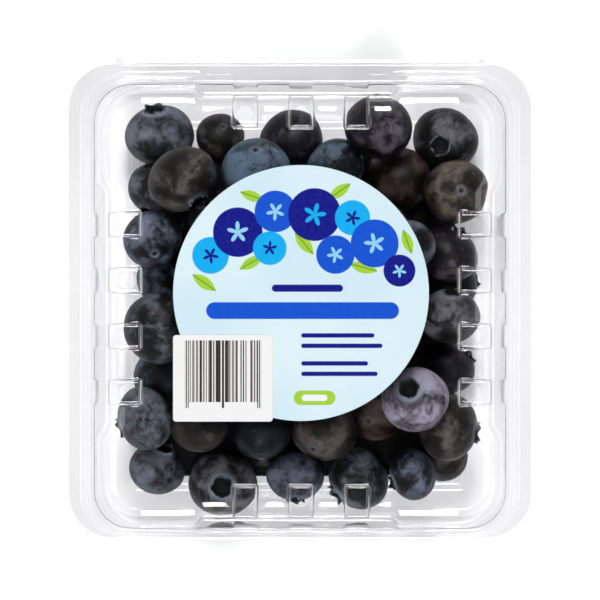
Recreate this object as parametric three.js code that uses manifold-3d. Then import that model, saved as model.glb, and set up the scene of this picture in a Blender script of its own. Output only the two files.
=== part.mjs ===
// A clear clamshell punnet of blueberries: tray, hinged lid, fruit heap and two paper labels.
// Millimetres, +Z up, the front towards -Y and the hinge at the back, origin under the middle.

import * as THREE from "three";
import { mergeVertices } from "three/addons/utils/BufferGeometryUtils.js";
import Module from "manifold-3d";

const wasm = await Module();
wasm.setup();

// Driving sizes of the pack
const SHELL = 0.5;
const LID_GAP = 0.3;
const CORNER_STEPS = 4;
const LEAST_RADIUS = 0.6;
const OUTER_HALF = 59.1;
const OUTER_FRONT = -60.75;
const OUTER_BACK = 60.75;
const BACK_EDGE = 59.45;
const OUTER_RADIUS = 12;
const TOP_HEIGHT = 41;
const DOME_HEIGHT = 7.7;
const LIP_DROP = 1.6;
const LIP_DROP_AT_HINGE = 0.1;
const HINGE_TAPER = 0.25;
const EDGE_CHAMFER = 0.35;
const BULGE = 2.2;
const RING_HEIGHT = 1.6;
const RING_SLOPE = 0.2;

// Shares of the shell that the dome's inner skin is set in at its foot and at its shoulder
const FOOT_SET_IN = 0.9;
const SHOULDER_SET_IN = 0.7;

const DOME = { half: 48.3, front: -55.0, back: 51.7, radius: 9 };
const RING_INNER = { half: 52.0, front: -57.8, back: 54.5, radius: 9.5 };
const RING_OUTER = { half: 54.9, front: -59.6, back: 57.2, radius: 10.5 };
const LID_EDGE = { half: OUTER_HALF, front: OUTER_FRONT, back: BACK_EDGE, radius: OUTER_RADIUS };
const TRAY_EDGE = { half: 58.2, front: -59.85, back: BACK_EDGE, radius: 11.1 };
const TRAY_MOUTH = { half: 51.5, front: -57.2, back: 54.0, radius: 9 };

// Vent pockets sunk into the lid, and the flutes of the tray below them
const POCKET_PITCH = 14;
const SIDE_POCKETS = { count: 4, middle: -2.1 };
const END_POCKETS = { count: 3, middle: 0.25 };
const POCKET_HALF = 3;
const POCKET_SLOPE = 0.25;
const POCKET_DEPTH = 3.2;
const POCKET_OUTER_INSET = 1.8;
const PLATEAU_INSET = 3.2;
const POCKET_INNER_INSET = 8.2;
const POCKET_END_SLOPE = 0.4;
const VENT_RADIUS = 2.2;
const VENT_INSET = 5.2;
const VENT_SIDES = 10;
const VENT_DRILL = 3 * SHELL;
const FLUTE_DEPTH = 0.8;

// Where the corner posts of the dome begin, along the sides and along the ends
const SIDE_POSTS = { low: -33.0, high: 28.4, run: 2.3 };
const END_POSTS = { low: -25.3, high: 23.8, run: 1.2 };

// Tray section: the flutes start above the foot's bend and stop below the flange
const WALL_DRAFT = 1.4;
const FOOT_ROUND = 3.6;
const FOOT_BEND = 0.3 * FOOT_ROUND;
const FLUTE_START = FOOT_ROUND + 1;
const FLUTE_STOP = 4;
const FOOT_WIDTH = 3.0;
const PANEL_RISE = 1.2;

// Hinge
const HINGE_RADIUS = 0.45;
const HINGE_HALF = 45;
const HINGE_SIDES = 12;

// Paper labels
const PAPER = 0.22;
const PAPER_GAP = 0.05;
const LABEL = { x: 0.25, y: 1.75, radius: 32, sides: 48 };
const STICKER = { left: -31.75, right: -6.8, low: -30.4, high: -8.75, radius: 0.8 };
const STICKER_CORNER_STEPS = 3;

// Fruit
const FRUIT_OBLATE = 0.86;
const FRUIT_SNUG = 0.93;
const FRUIT_FLOOR = 2.0;
const FRUIT_SEGMENTS = 8;
const FRUIT_LATITUDES = [-90, -54, -18, 18, 54];
const CROWN_RIM = 0.4;
const CROWN_DIP = 0.74;
const CORE = { half: 36, front: -42, back: 39, radius: 6, low: 4.5, high: 16 };
const CORE_CORNER_STEPS = 3;
const PILLAR_FOOT = 7;
const PILLAR_WIDTH = 0.35;
const PILLAR_SIDES = 6;

const FLANGE_TOP = TOP_HEIGHT - DOME_HEIGHT;
const FLANGE_UNDER = FLANGE_TOP - SHELL;
const TRAY_TOP = FLANGE_UNDER - LID_GAP;
const HINGE_Y = OUTER_BACK - HINGE_RADIUS;
const HINGE_Z = TRAY_TOP + LID_GAP / 2;

// Fruit seen in the photograph, lowest first: place, radius, and where the crown faces
// (heading turns from +X to +Y, tilt is measured from straight up, both in degrees).
const SEEN_LOW = [
  { x: -36.1, y: 42.4, r: 8.9, heading: 100, tilt: 62 },
  { x: -20.6, y: 42.2, r: 6.2, heading: 250, tilt: 150 },
  { x: -2.2, y: 41.2, r: 8.1, heading: 308, tilt: 156 },
  { x: 37.5, y: 41.3, r: 8.4, heading: 229, tilt: 20 },
  { x: -36.7, y: 28.2, r: 7.5, heading: 250, tilt: 70 },
  { x: -35.9, y: 5.1, r: 6.9, heading: 20, tilt: 120 },
  { x: -35.9, y: -19.9, r: 7.7, heading: 0, tilt: 130 },
  { x: -36.9, y: -43.4, r: 7.4, heading: 70, tilt: 62 },
  { x: -19.9, y: -47.3, r: 8.8, heading: 270, tilt: 4 },
  { x: -10.1, y: -36.1, r: 6.9, heading: 40, tilt: 140 },
  { x: -1.2, y: -45.2, r: 7.4, heading: 270, tilt: 75 },
  { x: 15.0, y: -45.9, r: 8.5, heading: 215, tilt: 78 },
  { x: 37.4, y: -41.0, r: 6.1, heading: 120, tilt: 140 },
  { x: 28.9, y: -44.7, r: 6.8, heading: 200, tilt: 80 },
  { x: 19.1, y: -28.1, r: 8.2, heading: 60, tilt: 150 },
  { x: 38.7, y: -17.3, r: 7.1, heading: 30, tilt: 80 },
  { x: 40.0, y: 4.3, r: 6.6, heading: 10, tilt: 100 },
  { x: 25.1, y: 30.9, r: 8.7, heading: 320, tilt: 150 },
  { x: 9.1, y: 34.1, r: 7.7, heading: 130, tilt: 120 },
  { x: 43.3, y: 26.1, r: 5.1, heading: 0, tilt: 60 },
];
const SEEN_HIGH = [
  { x: -29.7, y: 30.5, r: 9.0, heading: 304, tilt: 68 },
  { x: -11.3, y: 33.1, r: 8.8, heading: 270, tilt: 138 },
  { x: 20.0, y: 44.0, r: 8.9, heading: 80, tilt: 120 },
  { x: 39.7, y: 27.6, r: 8.3, heading: 190, tilt: 170 },
  { x: -37.5, y: 15.6, r: 7.6, heading: 100, tilt: 142 },
  { x: -36.3, y: -7.2, r: 9.2, heading: 13, tilt: 131 },
  { x: -39.6, y: -30.4, r: 8.1, heading: 200, tilt: 84 },
  { x: -25.3, y: -31.6, r: 7.7, heading: 300, tilt: 130 },
  { x: -9.9, y: -34.0, r: 7.5, heading: 90, tilt: 120 },
  { x: 6.1, y: -33.2, r: 8.6, heading: 60, tilt: 130 },
  { x: 38.0, y: -32.6, r: 8.6, heading: 350, tilt: 82 },
  { x: 38.2, y: -4.1, r: 7.9, heading: 85, tilt: 66 },
  { x: 37.6, y: 11.8, r: 7.9, heading: 59, tilt: 72 },
  { x: 27.2, y: 13.6, r: 7.2, heading: 290, tilt: 60 },
  { x: 29.1, y: -25.1, r: 8.5, heading: 122, tilt: 27 },
];

// Rows of fruit hidden under the round label: places across, places along, radius and first heading
const HIDDEN_LOW = { xs: [-16.5, -1.0, 14.5], ys: [24.0, 9.0, -6.0, -21.0], r: 7.4, first: 20 };
const HIDDEN_MIDDLE = { xs: [-23.0, -8.2, 6.6, 21.4], ys: [16.8, 2.2, -12.4], r: 7.6, first: 80 };
const HIDDEN_TOP = { xs: [-15.6, -0.8, 14.0], ys: [9.3, -5.0], r: 7.6, first: 200 };

// How the crown turns and tilts from one hidden berry to the next, in degrees
const HEADING_STEP = 137;
const TILT_STEP = 61;
const TILT_FROM = 40;
const TILT_SPAN = 100;

// How close corners of a mesh must be to be made one, before and after the boolean work
const WELD_BEFORE = 1e-4;
const WELD_AFTER = 1e-5;

const CLEAR_LOOK = { color: 0xe6eaec, roughness: 0.12, metalness: 0, transparent: true, opacity: 0.35 };
const FRUIT_LOOK = { color: 0x3d4454, roughness: 0.55, metalness: 0 };
const LABEL_LOOK = { color: 0xdceef8, roughness: 0.5, metalness: 0 };
const STICKER_LOOK = { color: 0xf8f8f8, roughness: 0.5, metalness: 0 };

function radians(degrees) {
  return (degrees * Math.PI) / 180;
}

function ramp(value, start, end) {
  return Math.min(1, Math.max(0, (value - start) / (end - start)));
}

// Middles of the vent pockets along a side or an end
function pocketMiddles({ count, middle }) {
  return Array.from({ length: count }, (_, i) => middle + (i - (count - 1) / 2) * POCKET_PITCH);
}

// Places along one side where the outline needs a point, each with its pocket and post shares
function sideMarks(pockets, posts, widen) {
  const marks = [
    { at: posts.low - posts.run, sunk: 0, post: 1 },
    { at: posts.low + posts.run, sunk: 0, post: 0 },
  ];
  for (const middle of pocketMiddles(pockets)) {
    const edge = POCKET_HALF + widen;
    marks.push({ at: middle - edge - POCKET_SLOPE, sunk: 0, post: 0 });
    marks.push({ at: middle - edge + POCKET_SLOPE, sunk: 1, post: 0 });
    marks.push({ at: middle + edge - POCKET_SLOPE, sunk: 1, post: 0 });
    marks.push({ at: middle + edge + POCKET_SLOPE, sunk: 0, post: 0 });
  }
  marks.push({ at: posts.high - posts.run, sunk: 0, post: 0 });
  marks.push({ at: posts.high + posts.run, sunk: 0, post: 1 });
  return marks;
}

// Counter-clockwise samples of a rounded rectangle with the same marks on every ring.
// Each sample has its place, outward direction, pocket and post shares, and its hinge share,
// which runs from 0 at the sides to 1 along the back edge.
function outline(shape, inset, marks, arcSteps) {
  const half = shape.half - inset;
  const front = shape.front + inset;
  const back = shape.back - inset;
  const radius = Math.max(shape.radius - inset, LEAST_RADIUS);
  const samples = [];
  const arc = (x, y, start, hingeShare) => {
    for (let i = 0; i <= arcSteps; i += 1) {
      const angle = radians(start + (90 * i) / arcSteps);
      const nx = Math.cos(angle);
      const ny = Math.sin(angle);
      const hinge = hingeShare(i / arcSteps);
      samples.push({ x: x + radius * nx, y: y + radius * ny, nx, ny, sunk: 0, post: 1, hinge });
    }
  };
  const run = (list, place, nx, ny, hinge) => {
    for (const mark of list) {
      const [x, y] = place(mark.at);
      samples.push({ x, y, nx, ny, sunk: mark.sunk, post: mark.post, hinge });
    }
  };
  const backwards = (list) => [...list].reverse();
  run(marks.side, (at) => [half, at], 1, 0, 0);
  arc(half - radius, back - radius, 0, (share) => ramp(share, 0, HINGE_TAPER));
  run(backwards(marks.end), (at) => [at, back], 0, 1, 1);
  arc(-half + radius, back - radius, 90, (share) => ramp(1 - share, 0, HINGE_TAPER));
  run(backwards(marks.side), (at) => [-half, at], -1, 0, 0);
  arc(-half + radius, front + radius, 180, () => 0);
  run(marks.end, (at) => [at, front], 0, -1, 0);
  arc(half - radius, front + radius, 270, () => 0);
  return samples;
}

// One ring of a loft: every sample pushed outwards by its swell and set to its height
function ring(samples, height, swell = () => 0) {
  return samples.map((s) => {
    const push = swell(s);
    return [s.x + s.nx * push, s.y + s.ny * push, height(s)];
  });
}

// Closed surface through rings of equal length, with a middle point at each end
function closedLoft(rings, first, last) {
  const count = rings[0].length;
  const positions = [...rings.flat(2), ...first, ...last];
  const firstIndex = rings.length * count;
  const lastIndex = firstIndex + 1;
  const indices = [];
  for (let i = 0; i < count; i += 1) {
    const next = (i + 1) % count;
    indices.push(firstIndex, i, next);
    const end = (rings.length - 1) * count;
    indices.push(lastIndex, end + next, end + i);
  }
  for (let row = 0; row < rings.length - 1; row += 1) {
    for (let i = 0; i < count; i += 1) {
      const next = (i + 1) % count;
      const a = row * count + i;
      const b = row * count + next;
      indices.push(a, a + count, b);
      indices.push(b, a + count, b + count);
    }
  }
  const geometry = new THREE.BufferGeometry();
  geometry.setAttribute("position", new THREE.Float32BufferAttribute(positions, 3));
  geometry.setIndex(indices);
  return geometry;
}

// The same surface with its faces turned round
function turnedInsideOut(geometry) {
  const index = geometry.index.array;
  for (let i = 0; i < index.length; i += 3) {
    [index[i + 1], index[i + 2]] = [index[i + 2], index[i + 1]];
  }
  return geometry;
}

// manifold-3d solid of a closed geometry
function solidOf(geometry) {
  const bare = geometry.clone();
  bare.deleteAttribute("normal");
  bare.deleteAttribute("uv");
  const merged = mergeVertices(bare, WELD_BEFORE);
  const mesh = new wasm.Mesh({
    numProp: 3,
    vertProperties: new Float32Array(merged.attributes.position.array),
    triVerts: new Uint32Array(merged.index.array),
  });
  return new wasm.Manifold(mesh);
}

// Geometry of a solid, of its largest connected skin alone: scraps go and sealed hollows fill
function geometryOf(solid) {
  const mesh = solid.getMesh();
  const parent = Array.from({ length: mesh.numVert }, (_, i) => i);
  const root = (vertex) => {
    let at = vertex;
    while (parent[at] !== at) at = parent[at];
    return at;
  };
  const triangles = [];
  for (let t = 0; t < mesh.triVerts.length; t += 3) {
    triangles.push(Array.from(mesh.triVerts.slice(t, t + 3)));
  }
  for (const [a, b, c] of triangles) {
    parent[root(b)] = root(a);
    parent[root(c)] = root(a);
  }
  const groups = new Map();
  for (const triangle of triangles) {
    const key = root(triangle[0]);
    groups.set(key, [...(groups.get(key) ?? []), triangle]);
  }
  const largest = [...groups.values()].sort((a, b) => b.length - a.length)[0];
  const geometry = new THREE.BufferGeometry();
  const positions = new THREE.Float32BufferAttribute(mesh.vertProperties, 3);
  geometry.setAttribute("position", positions);
  geometry.setIndex(largest.flat());
  return mergeVertices(geometry, WELD_AFTER);
}

function node(name, geometry, look) {
  const mesh = new THREE.Mesh(geometry, new THREE.MeshStandardMaterial(look));
  mesh.name = name;
  return mesh;
}

// Lid: outer skin from the plateau outwards to the lip, then the inner skin back to the middle
function lidRings() {
  const outerMarks = {
    side: sideMarks(SIDE_POCKETS, SIDE_POSTS, 0),
    end: sideMarks(END_POCKETS, END_POSTS, 0),
  };
  const innerMarks = {
    side: sideMarks(SIDE_POCKETS, SIDE_POSTS, SHELL),
    end: sideMarks(END_POCKETS, END_POSTS, SHELL),
  };
  const ringTop = (base) => (s) => base + RING_HEIGHT * (s.hinge === 1 && s.post === 0 ? 0 : 1);
  const foot = (s) => FLANGE_UNDER - LIP_DROP * (1 - s.hinge) - LIP_DROP_AT_HINGE * s.hinge;
  const flat = (z) => () => z;
  const swell = (s) => BULGE * s.post;
  const at = (shape, inset, marks, height, push) =>
    ring(outline(shape, inset, marks, CORNER_STEPS), height, push);
  const dome = (marks, top, thickness) => {
    const floor = (s) => top - POCKET_DEPTH * s.sunk;
    const shoulder = (s) => swell(s) + (PLATEAU_INSET - POCKET_OUTER_INSET) * s.sunk;
    const end = POCKET_INNER_INSET + thickness;
    return [
      at(DOME, end + POCKET_END_SLOPE, marks, flat(top)),
      at(DOME, end, marks, floor),
      at(DOME, PLATEAU_INSET + thickness * SHOULDER_SET_IN, marks, floor, shoulder),
    ];
  };
  const outer = (shape, inset, height, push) => at(shape, inset, outerMarks, height, push);
  const inner = (shape, inset, height, push) => at(shape, inset, innerMarks, height, push);
  return [
    ...dome(outerMarks, TOP_HEIGHT, 0),
    outer(DOME, 0, flat(FLANGE_TOP), swell),
    outer(RING_INNER, 0, flat(FLANGE_TOP)),
    outer(RING_INNER, -RING_SLOPE, ringTop(FLANGE_TOP)),
    outer(RING_OUTER, RING_SLOPE, ringTop(FLANGE_TOP)),
    outer(RING_OUTER, 0, flat(FLANGE_TOP)),
    outer(LID_EDGE, EDGE_CHAMFER, flat(FLANGE_TOP)),
    outer(LID_EDGE, 0, flat(FLANGE_TOP - EDGE_CHAMFER)),
    outer(LID_EDGE, 0, foot),
    inner(LID_EDGE, SHELL, foot),
    inner(LID_EDGE, SHELL, flat(FLANGE_UNDER)),
    inner(RING_OUTER, SHELL, flat(FLANGE_UNDER)),
    inner(RING_OUTER, SHELL + RING_SLOPE, ringTop(FLANGE_UNDER)),
    inner(RING_INNER, -SHELL - RING_SLOPE, ringTop(FLANGE_UNDER)),
    inner(RING_INNER, -SHELL, flat(FLANGE_UNDER)),
    inner(DOME, SHELL * FOOT_SET_IN, flat(FLANGE_UNDER), swell),
    ...dome(innerMarks, TOP_HEIGHT - SHELL, SHELL).reverse(),
  ];
}

// Round vent through every pocket floor
function ventPlaces() {
  const sides = pocketMiddles(SIDE_POCKETS);
  const ends = pocketMiddles(END_POCKETS);
  const x = DOME.half - VENT_INSET;
  return [
    ...sides.flatMap((y) => [[x, y], [-x, y]]),
    ...ends.flatMap((at) => [[at, DOME.back - VENT_INSET], [at, DOME.front + VENT_INSET]]),
  ];
}

function lidGeometry() {
  const middleY = (DOME.front + DOME.back) / 2;
  const shell = closedLoft(lidRings(), [0, middleY, TOP_HEIGHT], [0, middleY, TOP_HEIGHT - SHELL]);
  let solid = solidOf(shell);
  for (const [x, y] of ventPlaces()) {
    const drill = new THREE.CylinderGeometry(VENT_RADIUS, VENT_RADIUS, VENT_DRILL, VENT_SIDES);
    drill.rotateX(Math.PI / 2);
    drill.translate(x, y, TOP_HEIGHT - POCKET_DEPTH - SHELL / 2);
    solid = solid.subtract(solidOf(drill));
  }
  return geometryOf(solid);
}

// Tray: underside from the middle outwards, up the wall to the flange, then down inside
function trayRings() {
  const marks = {
    side: sideMarks(SIDE_POCKETS, SIDE_POSTS, 0),
    end: sideMarks(END_POCKETS, END_POSTS, 0),
  };
  const flute = (s) => -FLUTE_DEPTH * s.sunk;
  const at = (shape, inset, z, push) => ring(outline(shape, inset, marks, CORNER_STEPS), () => z, push);
  const footInset = WALL_DRAFT + FOOT_ROUND;
  const panelInset = footInset + FOOT_WIDTH;
  return [
    at(TRAY_MOUTH, panelInset + PANEL_RISE, PANEL_RISE),
    at(TRAY_MOUTH, panelInset, 0),
    at(TRAY_MOUTH, footInset, 0),
    at(TRAY_MOUTH, WALL_DRAFT + FOOT_BEND - SHELL, FOOT_BEND),
    at(TRAY_MOUTH, WALL_DRAFT - SHELL, FLUTE_START, flute),
    at(TRAY_MOUTH, -SHELL, TRAY_TOP - FLUTE_STOP, flute),
    at(TRAY_MOUTH, -SHELL, TRAY_TOP - SHELL),
    at(TRAY_EDGE, 0, TRAY_TOP - SHELL),
    at(TRAY_EDGE, 0, TRAY_TOP),
    at(TRAY_MOUTH, 0, TRAY_TOP),
    at(TRAY_MOUTH, 0, TRAY_TOP - FLUTE_STOP, flute),
    at(TRAY_MOUTH, WALL_DRAFT, FLUTE_START, flute),
    at(TRAY_MOUTH, WALL_DRAFT + FOOT_BEND, FOOT_BEND + SHELL),
    at(TRAY_MOUTH, footInset, SHELL),
    at(TRAY_MOUTH, panelInset - SHELL / 2, SHELL),
    at(TRAY_MOUTH, panelInset + PANEL_RISE - SHELL / 2, PANEL_RISE + SHELL),
  ];
}

function trayGeometry() {
  const middleY = (TRAY_MOUTH.front + TRAY_MOUTH.back) / 2;
  const first = [0, middleY, PANEL_RISE];
  const last = [0, middleY, PANEL_RISE + SHELL];
  const skin = closedLoft(trayRings(), first, last);
  return geometryOf(solidOf(turnedInsideOut(skin)));
}

// Height at which a berry comes to rest on the floor or on those already in the heap
function settle(heap, berry) {
  let z = FRUIT_FLOOR + berry.r;
  for (const other of heap) {
    const apart = Math.hypot(other.x - berry.x, other.y - berry.y);
    const reach = FRUIT_SNUG * (other.r + berry.r);
    if (apart < reach) {
      z = Math.max(z, other.z + Math.sqrt(reach * reach - apart * apart));
    }
  }
  return { ...berry, z };
}

// Berries on a grid, row by row, each turned a step on from the one before
function hiddenRows({ xs, ys, r, first }) {
  const places = ys.flatMap((y) => xs.map((x) => ({ x, y })));
  return places.map((place, i) => ({
    ...place,
    r,
    heading: first + HEADING_STEP * i,
    tilt: TILT_FROM + ((TILT_STEP * i) % TILT_SPAN),
  }));
}

// The heap in drop order; a hidden floor berry that finds no room on the floor is left out
function fruitHeap() {
  const heap = [];
  SEEN_LOW.forEach((berry) => heap.push(settle(heap, berry)));
  for (const berry of hiddenRows(HIDDEN_LOW)) {
    const placed = settle(heap, berry);
    if (placed.z === FRUIT_FLOOR + berry.r) heap.push(placed);
  }
  const upper = [...hiddenRows(HIDDEN_MIDDLE), ...hiddenRows(HIDDEN_TOP), ...SEEN_HIGH];
  upper.forEach((berry) => heap.push(settle(heap, berry)));
  return heap;
}

// A flattened ball with a rim and a dip at its crown, turned to face its heading and tilt
function berryGeometry({ x, y, z, r, heading, tilt }) {
  const profile = FRUIT_LATITUDES.map((degrees, i) => {
    const angle = radians(degrees);
    return new THREE.Vector2(i === 0 ? 0 : r * Math.cos(angle), FRUIT_OBLATE * r * Math.sin(angle));
  });
  profile.push(new THREE.Vector2(CROWN_RIM * r, FRUIT_OBLATE * r));
  profile.push(new THREE.Vector2(0, CROWN_DIP * FRUIT_OBLATE * r));
  const geometry = new THREE.LatheGeometry(profile, FRUIT_SEGMENTS);
  const t = radians(tilt);
  const h = radians(heading);
  const crown = new THREE.Vector3(Math.sin(t) * Math.cos(h), Math.sin(t) * Math.sin(h), Math.cos(t));
  const turn = new THREE.Quaternion().setFromUnitVectors(new THREE.Vector3(0, 1, 0), crown);
  geometry.applyQuaternion(turn);
  geometry.translate(x, y, z);
  return geometry;
}

// Upright pillar of the core under an upper berry
function pillarGeometry({ x, y, z, r }) {
  const height = z - PILLAR_FOOT;
  const geometry = new THREE.CylinderGeometry(PILLAR_WIDTH * r, PILLAR_WIDTH * r, height, PILLAR_SIDES);
  geometry.rotateX(Math.PI / 2);
  geometry.translate(x, y, PILLAR_FOOT + height / 2);
  return geometry;
}

function coreGeometry() {
  const noMarks = { side: [], end: [] };
  const edge = outline(CORE, 0, noMarks, CORE_CORNER_STEPS);
  const rings = [CORE.high, CORE.low].map((z) => ring(edge, () => z));
  const middleY = (CORE.front + CORE.back) / 2;
  return closedLoft(rings, [0, middleY, CORE.high], [0, middleY, CORE.low]);
}

function fruitGeometry() {
  let solid = solidOf(coreGeometry());
  for (const berry of fruitHeap()) {
    solid = solid.add(solidOf(berryGeometry(berry)));
    if (berry.z - berry.r > CORE.high - berry.r / 2) {
      solid = solid.add(solidOf(pillarGeometry(berry)));
    }
  }
  return geometryOf(solid);
}

// Flat prism of a shape in the XY plane, standing on a height
function prismGeometry(shape, bottom, thickness, curveSegments) {
  const geometry = new THREE.ExtrudeGeometry(shape, {
    depth: thickness,
    bevelEnabled: false,
    curveSegments,
  });
  geometry.translate(0, 0, bottom);
  return geometry;
}

function labelGeometry() {
  const shape = new THREE.Shape();
  for (let i = 0; i < LABEL.sides; i += 1) {
    const angle = (2 * Math.PI * i) / LABEL.sides;
    const x = LABEL.x + LABEL.radius * Math.cos(angle);
    const y = LABEL.y + LABEL.radius * Math.sin(angle);
    if (i === 0) shape.moveTo(x, y);
    else shape.lineTo(x, y);
  }
  return prismGeometry(shape, TOP_HEIGHT + PAPER_GAP, PAPER, 1);
}

function stickerGeometry() {
  const { left, right, low, high, radius } = STICKER;
  const shape = new THREE.Shape();
  shape.moveTo(right - radius, low);
  shape.absarc(right - radius, low + radius, radius, -Math.PI / 2, 0);
  shape.absarc(right - radius, high - radius, radius, 0, Math.PI / 2);
  shape.absarc(left + radius, high - radius, radius, Math.PI / 2, Math.PI);
  shape.absarc(left + radius, low + radius, radius, Math.PI, 1.5 * Math.PI);
  return prismGeometry(shape, TOP_HEIGHT + PAPER + 2 * PAPER_GAP, PAPER, STICKER_CORNER_STEPS);
}

// Soft web of the living hinge, a thin bead between both flanges
function hingeGeometry() {
  const bead = new THREE.CylinderGeometry(HINGE_RADIUS, HINGE_RADIUS, 2 * HINGE_HALF, HINGE_SIDES);
  bead.rotateZ(Math.PI / 2);
  bead.translate(0, HINGE_Y, HINGE_Z);
  return bead;
}

function buildPunnet() {
  const tray = new THREE.Group();
  tray.add(node("tray", trayGeometry(), CLEAR_LOOK));
  tray.add(node("berries", fruitGeometry(), FRUIT_LOOK));
  tray.add(node("hinge_web", hingeGeometry(), CLEAR_LOOK));
  const lid = new THREE.Group();
  lid.add(node("lid", lidGeometry(), CLEAR_LOOK));
  lid.add(node("label", labelGeometry(), LABEL_LOOK));
  lid.add(node("code_sticker", stickerGeometry(), STICKER_LOOK));
  const punnet = new THREE.Group();
  punnet.add(tray, lid);
  return punnet;
}

export default buildPunnet();
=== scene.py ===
"""Looks of a clear clamshell punnet of blueberries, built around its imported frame.

The punnet is seen from straight above. Its parts are a clear tray with a vented, hinged lid, a heap of
about sixty berries, a round paper label and a small code sticker. Sizes in the classes are millimetres.
"""

from __future__ import annotations

import logging
import math
from dataclasses import dataclass, field
from enum import Enum
from functools import cache
from typing import ClassVar, Sequence

import bpy
import numpy as np
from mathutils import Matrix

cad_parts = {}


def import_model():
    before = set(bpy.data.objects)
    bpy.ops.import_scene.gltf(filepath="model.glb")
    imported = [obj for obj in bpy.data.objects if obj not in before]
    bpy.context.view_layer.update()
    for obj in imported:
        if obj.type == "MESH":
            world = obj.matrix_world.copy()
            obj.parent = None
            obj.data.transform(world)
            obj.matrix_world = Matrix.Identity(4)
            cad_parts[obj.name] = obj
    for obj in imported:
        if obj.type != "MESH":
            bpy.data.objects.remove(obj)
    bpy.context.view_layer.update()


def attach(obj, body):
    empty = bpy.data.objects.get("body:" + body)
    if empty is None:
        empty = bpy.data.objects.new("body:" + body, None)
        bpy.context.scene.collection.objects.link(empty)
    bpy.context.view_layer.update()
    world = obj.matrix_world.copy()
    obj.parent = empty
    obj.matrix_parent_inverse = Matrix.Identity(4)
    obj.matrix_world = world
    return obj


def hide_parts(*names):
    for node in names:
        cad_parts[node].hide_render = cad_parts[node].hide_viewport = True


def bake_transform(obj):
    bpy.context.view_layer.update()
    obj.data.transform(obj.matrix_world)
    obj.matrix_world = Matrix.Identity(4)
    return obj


log = logging.getLogger("punnet")

MM = 0.001
BASE_BODY = "punnet_base"
LID_BODY = "punnet_lid"
SMALL = 1e-6
FILLET_ROWS = 5
PRINT_BLUR = 0.12

Colour = tuple[float, float, float]


def linear(red: int, green: int, blue: int) -> Colour:
    """Turns a colour seen on screen, 0 to 255 a channel, into linear light."""
    shares = [channel / 255 for channel in (red, green, blue)]
    return tuple(s / 12.92 if s <= 0.04045 else ((s + 0.055) / 1.055) ** 2.4 for s in shares)


# Meshes


def surface_object(name: str, points: np.ndarray, quads: np.ndarray,
                   triangles: np.ndarray | None = None) -> bpy.types.Object:
    """Makes a smooth-shaded mesh object from arrays.

    Args:
        name: Name of the piece.
        points: Vertices in millimetres, of shape (n, 3).
        quads: Vertex numbers of the four-sided faces, of shape (n, 4).
        triangles: Vertex numbers of the three-sided faces, of shape (n, 3); none if left out.

    Returns:
        The object, at the origin, with its place in its mesh.
    """
    if triangles is None:
        triangles = np.zeros((0, 3), int)
    loops = np.concatenate([quads.ravel(), triangles.ravel()])
    sizes = np.repeat([4, 3], [len(quads), len(triangles)])
    mesh = bpy.data.meshes.new(name)
    mesh.vertices.add(len(points))
    mesh.vertices.foreach_set("co", (points * MM).astype(np.float32).ravel())
    mesh.loops.add(len(loops))
    mesh.loops.foreach_set("vertex_index", loops.astype(np.int32))
    mesh.polygons.add(len(sizes))
    starts = np.concatenate([[0], np.cumsum(sizes)[:-1]])
    mesh.polygons.foreach_set("loop_start", starts.astype(np.int32))
    mesh.update(calc_edges=True)
    mesh.validate()
    mesh.polygons.foreach_set("use_smooth", np.ones(len(mesh.polygons), dtype=bool))
    thing = bpy.data.objects.new(name, mesh)
    bpy.context.scene.collection.objects.link(thing)
    return thing


def ring_quads(rows: int, around: int, turned: bool = False) -> np.ndarray:
    """Joins the rows of a grid whose rows each close on themselves.

    Args:
        rows: How many rows the grid has.
        around: Samples of one row.
        turned: Whether the faces look the other way.

    Returns:
        Vertex numbers of shape (rows - 1, around, 4).
    """
    index = np.arange(rows * around).reshape(rows, around)
    ahead = np.roll(index, -1, axis=1)
    if turned:
        return np.stack([index[:-1], ahead[:-1], ahead[1:], index[1:]], axis=-1)
    return np.stack([index[:-1], index[1:], ahead[1:], ahead[:-1]], axis=-1)


def pole_fan(pole: int, row: np.ndarray, turned: bool = False) -> np.ndarray:
    """Joins a pole to a row that closes on itself.

    Args:
        pole: Vertex number of the pole.
        row: Vertex numbers of the row.
        turned: Whether the faces look the other way.

    Returns:
        Vertex numbers of shape (samples, 3).
    """
    ahead = np.roll(row, -1)
    first, second = (ahead, row) if turned else (row, ahead)
    return np.stack([np.full(len(row), pole), first, second], axis=-1)


def ball_faces(rows: int, around: int) -> tuple[np.ndarray, np.ndarray]:
    """Closes a grid with a low and a high pole, which follow the grid's own vertices in this order.

    Args:
        rows: How many rows lie between the poles.
        around: Samples of one row.

    Returns:
        Quads of shape (n, 4) and triangles of shape (m, 3).
    """
    quads = ring_quads(rows, around, turned=True).reshape(-1, 4)
    low = rows * around
    lowest = np.arange(around)
    under = pole_fan(low, lowest, turned=True)
    over = pole_fan(low + 1, lowest + low - around)
    return quads, np.concatenate([under, over])


def lofted(name: str, rows: np.ndarray, pole: Sequence[float], keep: np.ndarray | None = None,
           turned: bool = False) -> bpy.types.Object:
    """Skins rows of points that each close on themselves, with a fan from the first row to a pole.

    Args:
        name: Name of the piece.
        rows: Points of shape (rows, samples, 3), from the middle outwards, counter-clockwise from above.
        pole: Point in the middle of the first row.
        keep: Which quads stay, of shape (rows - 1, samples); all of them if left out.
        turned: Whether the faces look down instead of up.

    Returns:
        The object.
    """
    count, around = rows.shape[:2]
    quads = ring_quads(count, around)
    quads = quads[keep] if keep is not None else quads.reshape(-1, 4)
    fan = pole_fan(count * around, np.arange(around))
    if turned:
        quads, fan = quads[:, ::-1], fan[:, ::-1]
    points = np.concatenate([rows.reshape(-1, 3), np.array([pole], float)])
    return surface_object(name, points, quads, fan)


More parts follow.
